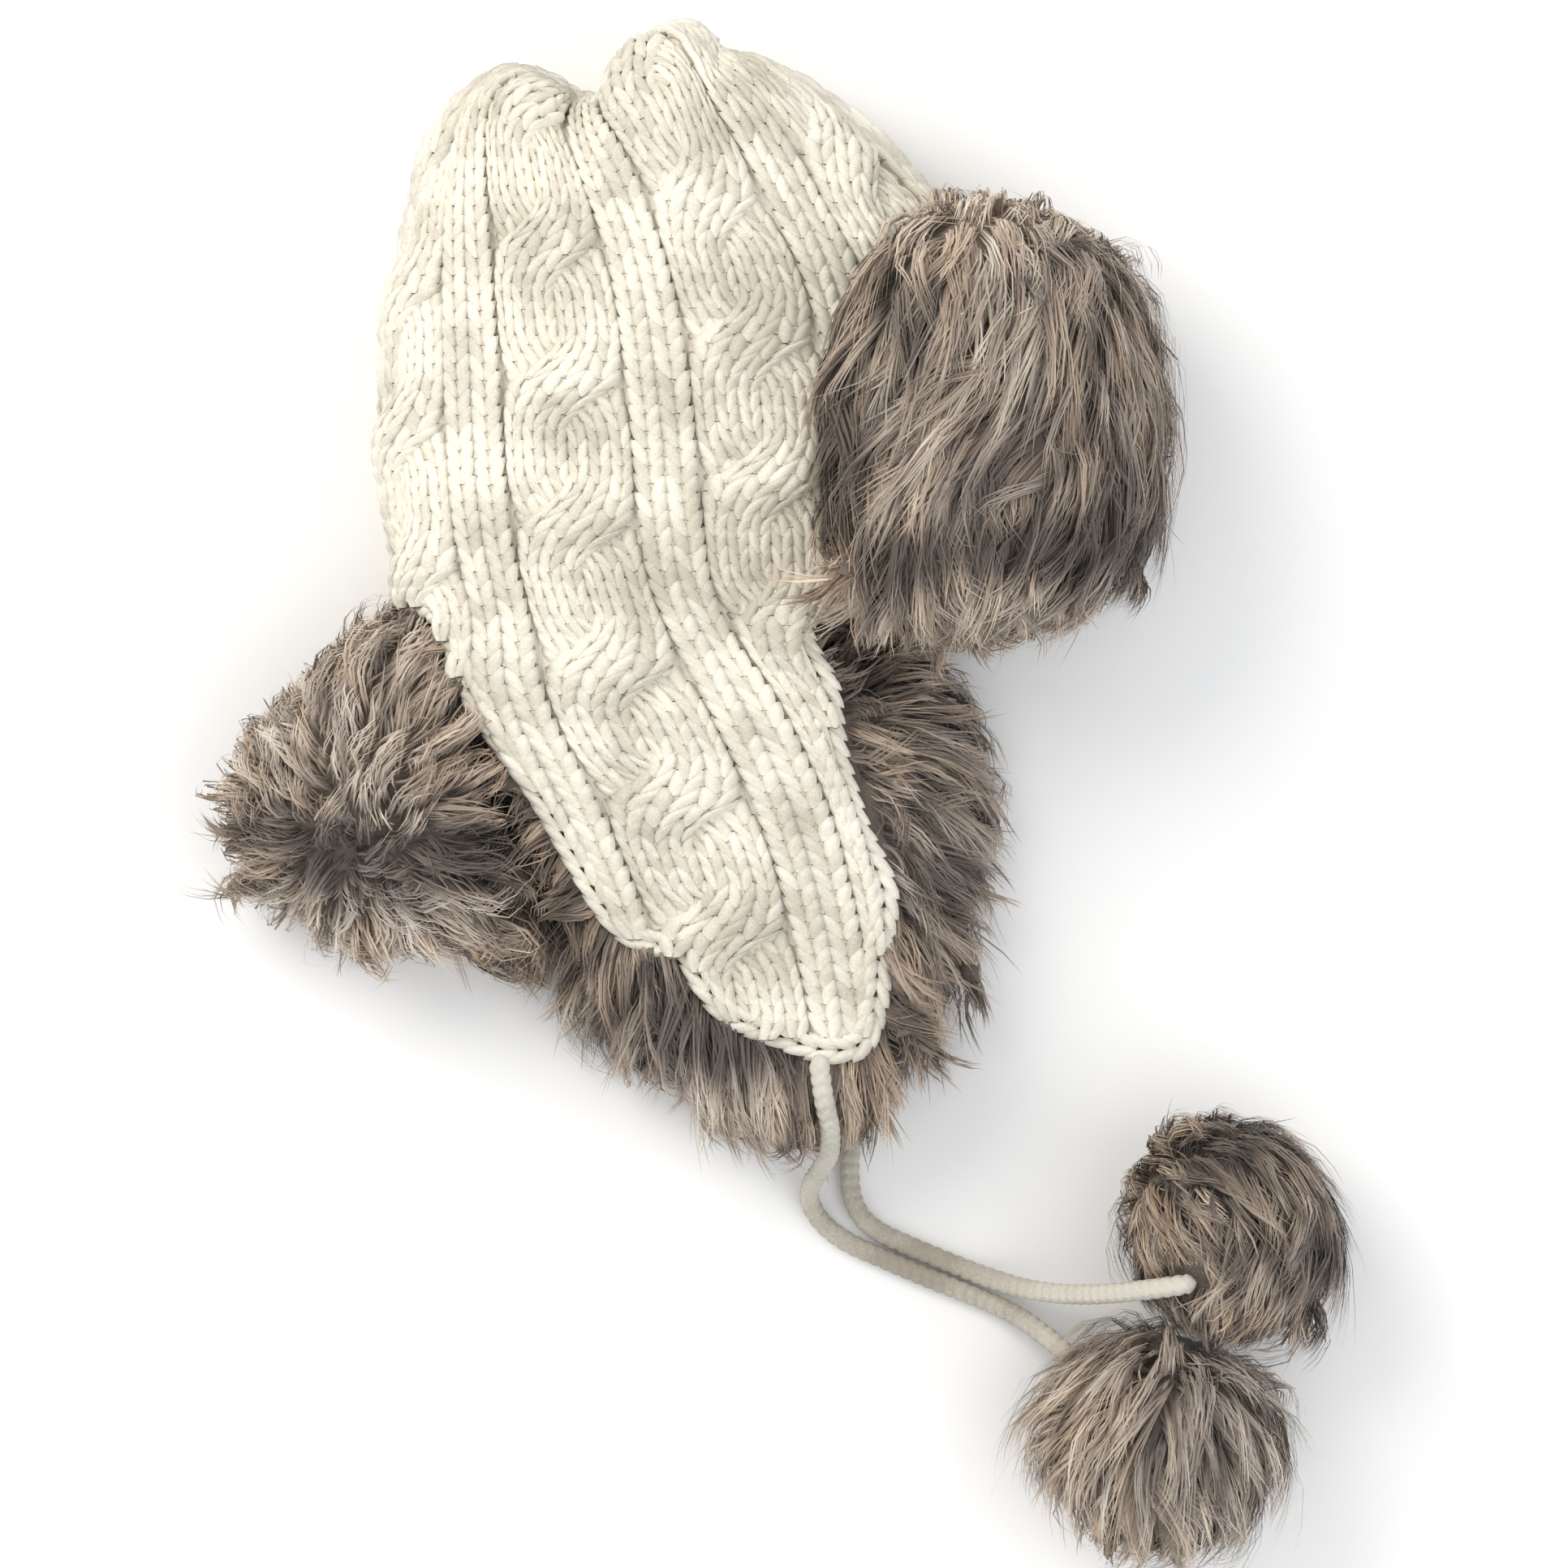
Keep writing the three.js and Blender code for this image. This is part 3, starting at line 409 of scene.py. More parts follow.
def on_wall(wall, around, down, rise):
    """Points at places on a wall, rise millimetres out from it, read between the grid's points.
    Where the hat lies on the surface the stitches carry it, so the wall stays higher by them."""
    points, faces_out = wall
    r = np.clip(down / GRID_STEP, 0, len(GRID_DOWN) - 1.001)
    around = (around + HALF_ROUND) % (2 * HALF_ROUND)
    c = np.clip(around / (GRID_AROUND[1] - GRID_AROUND[0]), 0, len(GRID_AROUND) - 1.001)
    r0, c0 = r.astype(int), c.astype(int)
    fr, fc = (r - r0)[..., None], (c - c0)[..., None]

    def between(grid):
        top = grid[r0, c0] * (1 - fc) + grid[r0, c0 + 1] * fc
        bottom = grid[r0 + 1, c0] * (1 - fc) + grid[r0 + 1, c0 + 1] * fc
        return top * (1 - fr) + bottom * fr

    place = between(points)
    free = smooth(1, 14, place[..., 2] - underside(place[..., 0], place[..., 1]))
    rise = rise - STITCH_RELIEF * (1 - free)
    place = place + unit(between(faces_out)) * rise[..., None]
    place[..., 2] = np.maximum(place[..., 2], 0.15 + 0.25 * np.abs(np.sin(around * 0.7 + down)))
    return place


def flap_end(around):
    """How far down the knit goes at a place around the hat."""
    near_half = np.abs(around) <= QUARTER_ROUND
    place = np.where(near_half, around, np.sign(around) * (HALF_ROUND - np.abs(around)))
    return np.interp(place, FLAP_EDGE[:, 0], FLAP_EDGE[:, 1], left=RIM, right=RIM)


def strand_path(cable, strand, down):
    """Where one half of a cable runs, from the cable's middle, how high it lifts, and how much
    broader it is across: it keeps to one side, then passes over or under the other half in a
    smooth step. The nearer it is to the middle the broader it spreads, up to the cable's edges."""
    turns = (down - (FIRST_CROSS - CROSS_SHIFT * (cable + 0.5))) / CROSS_EVERY
    crossing = np.minimum(np.round(turns), np.where(cable == 0.5, 3, 6))
    along = (turns - crossing) * CROSS_EVERY / CROSS_LENGTH
    before = np.where((crossing + strand) % 2 == 0, 1.0, -1.0)
    offset = before * (1 - 2 * smooth(-0.5, 0.5, along)) * STRAND_OFFSET
    inside = np.maximum(0, 1 - (2 * along) ** 2)
    broad = 1 + 0.8 * (STRAND_OFFSET - np.abs(offset)) / STRAND_HALF
    return offset, before * inside * CROSS_LIFT, broad


def plain_relief(around, down):
    """Height of the pattern without its stitches: a low flat rib, a gutter on either side of it,
    and round strands that cross."""
    index = np.round(around / REPEAT)
    q = around - index * REPEAT
    rib = RIB_RISE * np.maximum(0, 1 - (q / RIB_HALF) ** 4)
    rib = rib - GUTTER_DEPTH * smooth(RIB_HALF - 2, GUTTER, np.abs(q))
    side = np.where(q < 0, -1.0, 1.0)
    cable = index + side / 2
    c = q - side * REPEAT / 2
    height = np.full(q.shape, -GUTTER_DEPTH)
    for strand in (0, 1):
        offset, lift, broad = strand_path(cable, strand, down)
        dome = np.sqrt(np.maximum(0, 1 - ((c - offset) / (STRAND_HALF * broad)) ** 2))
        height = np.maximum(height, -GUTTER_DEPTH + (GUTTER_DEPTH + STRAND_RISE + lift) * dome)
    return np.where(np.abs(q) < GUTTER, rib, height) * smooth(PATTERN_FROM, PATTERN_TO, down)


def end_fans(rings, sides):
    """Triangles that close a tube of rings at its two ends, round two points of their own that
    come right after the points of the rings."""
    i = np.arange(sides)
    after = (i + 1) % sides
    first = rings * sides
    last_ring = first - sides
    return np.concatenate([
        np.stack([np.full(sides, first), i, after], -1),
        np.stack([last_ring + i, np.full(sides, first + 1), last_ring + after], -1)])


def knit_wall():
    """The closed wall under the stitches: its outer face from the top to the edge, lowered so the
    stitches stand on it, then its inner face back up to the top."""
    around = np.linspace(-HALF_ROUND, HALF_ROUND, WALL_COLUMNS + 1)[:-1]
    level = np.linspace(0, LEVEL_DOWN, LEVEL_ROWS + 1)[1:, None] + np.zeros(around.shape)
    into_flap = np.linspace(0, 1, FLAP_ROWS + 1)[1:, None] * (flap_end(around) - LEVEL_DOWN)
    down = np.concatenate([level, LEVEL_DOWN + into_flap])
    place = np.broadcast_to(around, down.shape)
    gathered = 1 - smooth(12, 60, down)
    outer = on_wall(outer_wall, place, down, plain_relief(place, down) + 0.4 - 2.4 * gathered)
    inner = on_wall(inner_wall, place[INNER_ROWS], down[INNER_ROWS], 0.0)[::-1]
    body = np.concatenate([outer, inner])
    poles = np.array([on_wall(outer_wall, np.zeros(1), np.zeros(1), 0.0)[0]] * 2)
    poles[1, 1] -= WALL
    rings = len(body)
    return (np.concatenate([body.reshape(-1, 3), poles]),
            ring_quads(rings, WALL_COLUMNS)[:, ::-1], end_fans(rings, WALL_COLUMNS))


wool = plied_yarn("chunky_wool_yarn", light="#eee9da", dark="#bfb8a7",
                  ply_millimetres=2.6, fibre_millimetres=0.9)
wall_wool = plied_yarn("wool_between_stitches", light="#ece6d8", dark="#cfc8b7",
                       ply_millimetres=2.6, fibre_millimetres=1.4)
wall_points, wall_quads, wall_tris = knit_wall()
wall = make_piece("knit_wall", wall_points, wall_quads, wall_tris, wall_wool, "cream_wool",
                  wall_points[:, :2], {"tone": np.full(len(wall_points), 0.5)})
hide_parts("knit_shell")

# The stitches. Each is a V of two fat legs of yarn that leans into the stitch above it, point
# down towards the rim. They are laid row by row over the wall, two to a rib and six to a cable.
LEG_RINGS = LEG_SIDES = 5
LEG_HALF_WIDTH, LEG_HALF_HEIGHT = 2.45, 1.8
# Where the knit is painted greyer: painted shade on the crown's right side beside the brim, and
# greyer patches of the heathered yarn. x, y, half sizes across and up, strength
SHADE_AND_HEATHER = [
    (62, 25, 22, 50, -0.62), (12, -60, 24, 20, -0.4), (36, 98, 22, 16, -0.3),
    (-34, 98, 16, 12, -0.5), (-2, 66, 16, 26, -0.2), (70, -60, 20, 26, -0.35),
    (30, -150, 22, 16, -0.2), (58, -180, 24, 14, -0.3), (36, -50, 28, 34, -0.4),
]


def stitch_places():
    """The middle of every stitch: its wale's place and kind, and how far down its row is."""
    wales = []
    for index in range(-REPEATS // 2, REPEATS // 2):
        wales += [(index * REPEAT + side * RIB_WALE, 0, 0, 0, 0) for side in (-0.5, 0.5)]
        wales += [((index + 0.5) * REPEAT, index + 0.5, 1, strand, wale * CABLE_WALE)
                  for strand in (0, 1) for wale in (-1, 0, 1)]
    which, down = np.meshgrid(np.arange(len(wales)), np.arange(1.1, 64) * ROW, indexing="ij")
    return np.array(wales)[which.ravel()], (down + which % 2 * 0.3).ravel()


def leg_shape(row):
    """One leg of a stitch as rings of points: across the wale, whose width is one, down the row,
    and up off the knit. The leg leans outwards on its way up, is fattest in the middle, and dips
    under its neighbours at both ends. The other leg is its mirror image."""
    t = np.linspace(0.06, 0.94, LEG_RINGS)
    across = 0.09 + 0.32 * t
    down = row * (0.86 - 1.72 * t)
    up = 1.3 * np.sin(np.pi * t) - 0.9
    girth = np.sin(np.pi * (0.14 + 0.72 * t)) ** 0.4
    angle = np.arange(LEG_SIDES) * 2 * np.pi / LEG_SIDES + 0.3
    lean = math.atan2(0.32, row * 1.72)
    out = LEG_HALF_WIDTH / RIB_WALE * girth[:, None] * np.cos(angle)
    ring = np.stack([across[:, None] + out * math.cos(lean), down[:, None] + out * math.sin(lean),
                     up[:, None] + LEG_HALF_HEIGHT * girth[:, None] * np.sin(angle)], -1)
    tips = np.array([[0.07, row * 0.96, -1.2], [0.43, -row * 0.96, -1.2]])
    spread = np.stack(np.broadcast_arrays(angle / (2 * np.pi), t[:, None] * row * 1.5), -1)
    tip_spread = np.array([[0.5, 0.0], [0.5, row * 1.5]])
    return (np.concatenate([ring.reshape(-1, 3), tips]),
            np.concatenate([spread.reshape(-1, 2), tip_spread]))


def lay_stitches(wales, downs, rng):
    """The legs of all these stitches on the wall. A point's place across its wale follows the
    wale's own path at that height, and its height is added to the pattern's height there."""
    middle, cable, in_cable, strand, wale = wales.T[..., None]
    width = np.where(in_cable > 0, CABLE_WALE, RIB_WALE)
    shape, spread = leg_shape(ROW)
    each = (len(downs), 1)
    points, tones = [], []
    for side in (-1.0, 1.0):
        u = side * shape[:, 0] * width + wale + rng.normal(0, 0.12, each)
        down = downs[:, None] + shape[:, 1] + rng.normal(0, 0.15, each)
        up = shape[:, 2] * rng.uniform(0.92, 1.1, each)
        offset, lift, broad = strand_path(cable, strand, down)
        dome = np.sqrt(np.clip(1 - (u / STRAND_HALF) ** 2, 0.12, 1))
        in_strand = -GUTTER_DEPTH + (GUTTER_DEPTH + STRAND_RISE + lift) * dome
        around = middle + np.where(in_cable > 0, offset + u * broad, u)
        pattern = np.where(in_cable > 0, in_strand, RIB_RISE)
        rise = pattern * smooth(PATTERN_FROM, PATTERN_TO, down) + up + 0.35
        points.append(on_wall(outer_wall, around, np.maximum(down, 0), rise))
        # a leg's tone is random, and lower under the painted shade and the greyer heather patches
        tones.append(rng.uniform(0.3, 0.8, each) + patches(points[-1], SHADE_AND_HEATHER))
    return points, tones, spread


def yarn_piece(name, points, tones, spread):
    """One piece of yarn legs. points and tones hold left legs and right legs in turn, which have
    their faces turned the other way, and spread is the yarn map of a single leg."""
    quads, tris = ring_quads(LEG_RINGS, LEG_SIDES), end_fans(LEG_RINGS, LEG_SIDES)
    per_leg = len(spread)
    all_quads, all_tris, start = [], [], 0
    for side, legs in enumerate(points):
        shift = start + np.arange(len(legs))[:, None, None] * per_leg
        flip = slice(None, None, -1 if side % 2 else 1)
        all_quads.append((quads[None, :, flip] + shift).reshape(-1, 4))
        all_tris.append((tris[None, :, flip] + shift).reshape(-1, 3))
        start += len(legs) * per_leg
    make_piece(name, np.concatenate([legs.reshape(-1, 3) for legs in points]),
               np.concatenate(all_quads), np.concatenate(all_tris), wool, "cream_wool",
               np.tile(spread, (start // per_leg, 1)),
               {"tone": np.concatenate([tone.ravel() for tone in tones])})


rng = np.random.default_rng(4)
wales, downs = stitch_places()
middle, cable, in_cable, strand, wale = wales.T
around = middle + wale + np.where(in_cable > 0, strand_path(cable, strand, downs)[0], 0)
around = (around + HALF_ROUND) % (2 * HALF_ROUND) - HALF_ROUND
kept = downs < flap_end(around) + 1.0
nearer = np.abs(around) <= QUARTER_ROUND
for name, chosen in (("near_side_stitches", kept & nearer), ("far_side_stitches", kept & ~nearer)):
    yarn_piece(name, *lay_stitches(wales[chosen], downs[chosen], rng))

# The bound-off edge of the ear flaps: one chain of the same yarn laid along the whole edge, link
# into link, which holds the last stitches and rounds over the thickness of the knit.
EDGE_LINK, EDGE_WIDTH = 6.2, 9.4        # length and width of one link


def edge_chain(on_near_flap, rng):
    """The legs of the chain along one flap's edge. Along and across the edge they are shaped as
    a stitch's legs are down and across its wale."""
    corner = np.concatenate([[(-140, RIM)], FLAP_EDGE, [(126, RIM)]])
    run = run_along(corner)
    middles = np.arange(EDGE_LINK, run[-1] - EDGE_LINK, EDGE_LINK)
    shape, spread = leg_shape(EDGE_LINK)
    each = (len(middles), 1)
    points, tones = [], []
    for side in (-1.0, 1.0):
        along = middles[:, None] + shape[:, 1] + rng.normal(0, 0.2, each)
        place, further = (
            read_smooth(run, corner, along.ravel() + step).reshape(*along.shape, 2)
            for step in (0, 0.5))
        ahead = unit(further - place)
        across = side * shape[:, 0] * EDGE_WIDTH - 0.6
        around = place[..., 0] + ahead[..., 1] * across
        down = place[..., 1] - ahead[..., 0] * across
        past = smooth(-2.5, 4.0, -across)
        if not on_near_flap:
            around = HALF_ROUND - around
        rise = 1.6 + shape[:, 2] * rng.uniform(0.9, 1.15, each) - 2.4 * past
        points.append(on_wall(outer_wall, around, down, rise))
        tones.append(np.broadcast_to(rng.uniform(0.3, 0.7, each), down.shape))
    return points, tones, spread


near_points, near_tones, link_spread = edge_chain(True, rng)
far_points, far_tones, _ = edge_chain(False, rng)
yarn_piece("knit_edge", near_points + far_points[::-1], near_tones + far_tones[::-1], link_spread)

# The fur. Deep soft pile of fine modacrylic hair on a knitted backing, dark at the root and light
# at the tip. It lies in locks that sweep over each other. A soft dark body stands for the backing
# and the short underfur, and long hairs grow from it in locks.
FUR_VOXEL = 4.0             # size of the cubes the body is rebuilt from
FUR_SINK = 5.0              # how far the body lies under the fur's outer form
ROOM_CELL = 3.0             # size of the cells that mark what the hair must not grow into
ROOM_LOW = np.array([-140.0, -400.0, -6.0])
ROOM_SHAPE = (150, 190, 50)
ROOM_AHEAD = 2.5            # a place has another piece beside it if the cell this far out is marked
TIE_ROOM = 5.0              # no hair lies over a tie nearer to its middle than this
HAIR_HALF_WIDTH = 0.3
HAIR_RINGS = np.array([0.0, 0.24, 0.5, 0.77, 1.0])      # places along a hair
HAIR_TAPER = np.array([0.8, 1.0, 0.9, 0.55, 0.0])       # its width there
STRAND_SIZE = 0.3           # width of a strand as a share of its lock's
LOOSE_HAIRS = 0.08          # share of the hairs that stray further
ROOT_TONE, TIP_TONE = 0.035, 0.31       # a hair's own tone at its root, and how much it gains
FUR_GREYS = ("#5a534e", "#776e66", "#9a9086", "#bab0a4", "#d8cfc4")     # from root to tip
FUR_TANS = ("#5d5248", "#817162", "#a68f79", "#c4ae96", "#ddccb7")


def soft_body(node):
    """A soft copy of a node's fur solid: its triangles joined, rebuilt from small cubes and
    smoothed, as points, corners of its quads, and which way it faces at each point."""
    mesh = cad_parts[node].data.copy()
    body = bpy.data.objects.new("body_of_" + node, mesh)
    bpy.context.scene.collection.objects.link(body)
    for kind, settings in (("WELD", {"merge_threshold": 1e-5}),
                           ("REMESH", {"mode": "VOXEL", "voxel_size": FUR_VOXEL * 0.001}),
                           ("SMOOTH", {"iterations": 10, "factor": 0.6})):
        step = body.modifiers.new(kind, kind)
        for key, value in settings.items():
            setattr(step, key, value)
    done = body.evaluated_get(bpy.context.evaluated_depsgraph_get()).to_mesh()
    points, normals = np.empty((2, len(done.vertices) * 3), np.float32)
    done.vertices.foreach_get("co", points)
    done.vertices.foreach_get("normal", normals)
    corners = np.empty(len(done.loops), np.int32)
    done.loops.foreach_get("vertex_index", corners)
    bpy.data.objects.remove(body)
    bpy.data.meshes.remove(mesh)
    return (points.reshape(-1, 3) * 1000.0 + MIDDLE, corners.reshape(-1, 4),
            unit(normals.reshape(-1, 3).astype(float)))


def room_cells(points):
    """Which cell of the room each point is in."""
    cells = ((points - ROOM_LOW) / ROOM_CELL).astype(int)
    return tuple(np.clip(cells, 1, np.array(ROOM_SHAPE) - 2).T)


def filled_room(clouds):
    """The cells of the room that hold any of these points, or lie next to one that does."""
    room = np.zeros(ROOM_SHAPE, bool)
    for cloud in clouds:
        room[room_cells(cloud.reshape(-1, 3))] = True
    for axis in range(3):
        room = room | np.roll(room, 1, axis) | np.roll(room, -1, axis)
    return room


def tangled(points, scale, salt):
    """A smooth wandering number between -1 and 1 at each point: three sines across each other."""
    x, y, z = (points / scale).T
    return (np.sin(1.7 * x + 0.9 * y + salt) + np.sin(1.3 * y - 1.1 * x + 1.6 * z + 2.1 * salt)
            + np.sin(2.1 * z + 1.5 * x - 0.4 * y + 3.7 * salt)) / 3


def nearest(points, others, batch=4000):
    """For each point, which of the others is nearest, by comparing squared distances."""
    found = np.empty(len(points), int)
    for start in range(0, len(points), batch):
        gap = (others ** 2).sum(1) - 2 * points[start:start + batch] @ others.T
        found[start:start + batch] = gap.argmin(1)
    return found


def roots_on(body, count, blocked, rng):
    """Places on a soft body where hairs grow, as many for each square millimetre anywhere on it,
    fewer underneath, and none where another piece lies against it."""
    points, quads, faces_out = body
    a, b, c, d = points[quads.T]
    area = np.linalg.norm(np.cross(c - a, d - b), axis=1)
    middle_out = unit(faces_out[quads].mean(1))
    middle = (a + b + c + d) / 4
    free = ~blocked[room_cells(middle + middle_out * ROOM_AHEAD)]
    weight = area * free * (0.25 + 0.75 * smooth(-0.8, -0.2, middle_out[:, 2]))
    weight *= np.where(middle[:, 2] < 2.5, 0.15, 1.0)
    chosen = rng.choice(len(quads), count, p=weight / weight.sum())
    u, v = rng.random((2, count, 1))
    at = (a[chosen] * (1 - u) + b[chosen] * u) * (1 - v) + (d[chosen] * (1 - u) + c[chosen] * u) * v
    return at, middle_out[chosen], weight.sum()


def lock_lines(roots, out, flow, length, lift, rng):
    """The middle line of every lock from its root: it rises off the body, bends over into the
    flow, sways from side to side, and sinks a little at the end."""
    along = flow - (flow * out).sum(1, keepdims=True) * out * 0.85
    turn = 0.5 * tangled(roots, scale=22.0, salt=1.0) + rng.normal(0, 0.2, len(roots))
    side = np.cross(out, along)
    along = along * np.cos(turn)[:, None] + side * np.sin(turn)[:, None]
    side = np.cross(out, along)
    t = HAIR_RINGS[None, :, None]
    size = length * rng.uniform(0.75, 1.2, len(roots))
    rise = lift * rng.uniform(0.6, 1.4, len(roots))
    sway = rng.normal(0, 0.09, len(roots)) + 0.17 * tangled(roots, scale=18.0, salt=5.0)
    wave = 2.5 * tangled(roots, scale=34.0, salt=3.0) + rng.normal(0, 0.5, len(roots))
    size, rise, sway, wave = np.array([size, rise, sway, wave])[..., None, None]
    up = rise * np.sin(0.8 * np.pi * t ** 0.7) - 0.10 * t ** 2
    across = sway * (np.sin(wave + 3.4 * t) - np.sin(wave))
    return size * (along[:, None, :] * t + out[:, None, :] * up + side[:, None, :] * across)


# Where the pile is longer and stands further off its body, or less, in millimetres, and where it
# is more tan than grey. Each patch: x, y, half sizes across and up, strength.
FURTHER = [
    (-16, -196, 20, 22, 20), (39, -240, 12, 12, -7), (-28, -168, 15, 18, 13),
    (-34, -156, 14, 14, 12), (-122, -136, 9, 12, 3), (-108, -166, 10, 12, 12),
    (-108, -92, 12, 12, -9), (-88, -60, 20, 16, -12), (72, -52, 14, 9, 5), (84, -68, 16, 10, 10),
    (184, 0, 12, 46, 5), (156, -72, 26, 10, -8), (182, 40, 16, 18, 14), (168, 54, 13, 10, 12),
    (136, -122, 12, 10, 15), (127, -105, 12, 7, -5), (128, -152, 12, 7, -6), (130, -168, 12, 8, 11),
    (132, -88, 12, 8, 12), (122, -196, 10, 8, 7), (134, -316, 14, 18, 12), (146, -354, 14, 14, -12),
    (180, -234, 14, 10, 8), (240, -256, 12, 12, 13), (238, -296, 14, 14, 20),
    (222, -318, 10, 12, 15), (214, -356, 12, 14, 15),
]
TANS = [
    (105, 50, 22, 24, 0.25), (180, 20, 12, 44, 0.3), (72, -55, 13, 8, 0.6), (138, -66, 44, 8, 0.35),
    (-78, -172, 44, 9, 0.6), (-34, -112, 12, 34, 0.4), (-14, -160, 14, 30, 0.3),
    (36, -235, 44, 12, 0.45), (86, -92, 12, 30, 0.35), (150, -318, 12, 14, 0.4),
    (176, -256, 9, 24, 0.45), (214, -290, 16, 10, 0.45), (180, -374, 20, 10, 0.4),
]


def lock_light_and_shade(lane):
    """Painted highlights on the locks and painted shade in the gaps between them, across the lanes
    the fur lies in, from three sines whose lengths don't fit each other. A lane is a distance in
    millimetres across the flow."""
    wave = (np.sin(lane * 2 * np.pi / 14.3) + 0.9 * np.sin(lane * 2 * np.pi / 8.1 + 1.3)
            + 0.5 * np.sin(lane * 2 * np.pi / 4.3 + 0.6))
    return np.where(wave < 0, 0.19 * wave, 0.07 * wave)


def fan_lane(points, middle, spread):
    """Lanes of a fan of fur round a middle, spread millimetres to a radian, in slight waves."""
    x, y = points[..., 0] - middle[0], points[..., 1] - middle[1]
    turn = np.arctan2(y, x)
    return turn * spread + 2.6 * np.sin(np.hypot(x, y) / 9.0 + 3 * turn)


def kept_within(paths, body, allow):
    """How much of each path, from its root, runs before it leaves a body's skin by more than its
    allowance, between 0.4 and 1. The skin's distance is taken from the nearest point on it."""
    points, _, faces_out = body
    flat = paths.reshape(-1, 3)
    near = nearest(flat, points)
    height = ((flat - points[near]) * faces_out[near]).sum(1).reshape(paths.shape[:2])
    room = allow[:, None] - height
    part = np.clip(room[:, :-1] / (room[:, :-1] - room[:, 1:] + 1e-6), 0, 1)
    leaves_at = HAIR_RINGS[:-1] + part * np.diff(HAIR_RINGS)
    first = (room[:, 1:] < 0).argmax(1)
    whole = ~(room[:, 1:] < 0).any(1)
    return np.maximum(np.where(whole, 1.0, leaves_at[np.arange(len(paths)), first]), 0.4)


def kept_off_ties(paths):
    """How much of each path, from its root, runs before it would lie over a tie."""
    flat = paths.reshape(-1, 3)
    tie = BARE_TIE_LINE[nearest(flat * (1, 1, 0), BARE_TIE_LINE * (1, 1, 0))]
    beside = np.hypot(*(flat - tie)[:, :2].T) < TIE_ROOM
    over = (beside & (flat[:, 2] > tie[:, 2] - 3.0)).reshape(paths.shape[:2])
    before = np.maximum(HAIR_RINGS[over.argmax(1)] - 0.24, 0.02)
    return np.where(over.any(1), before, 1.0)


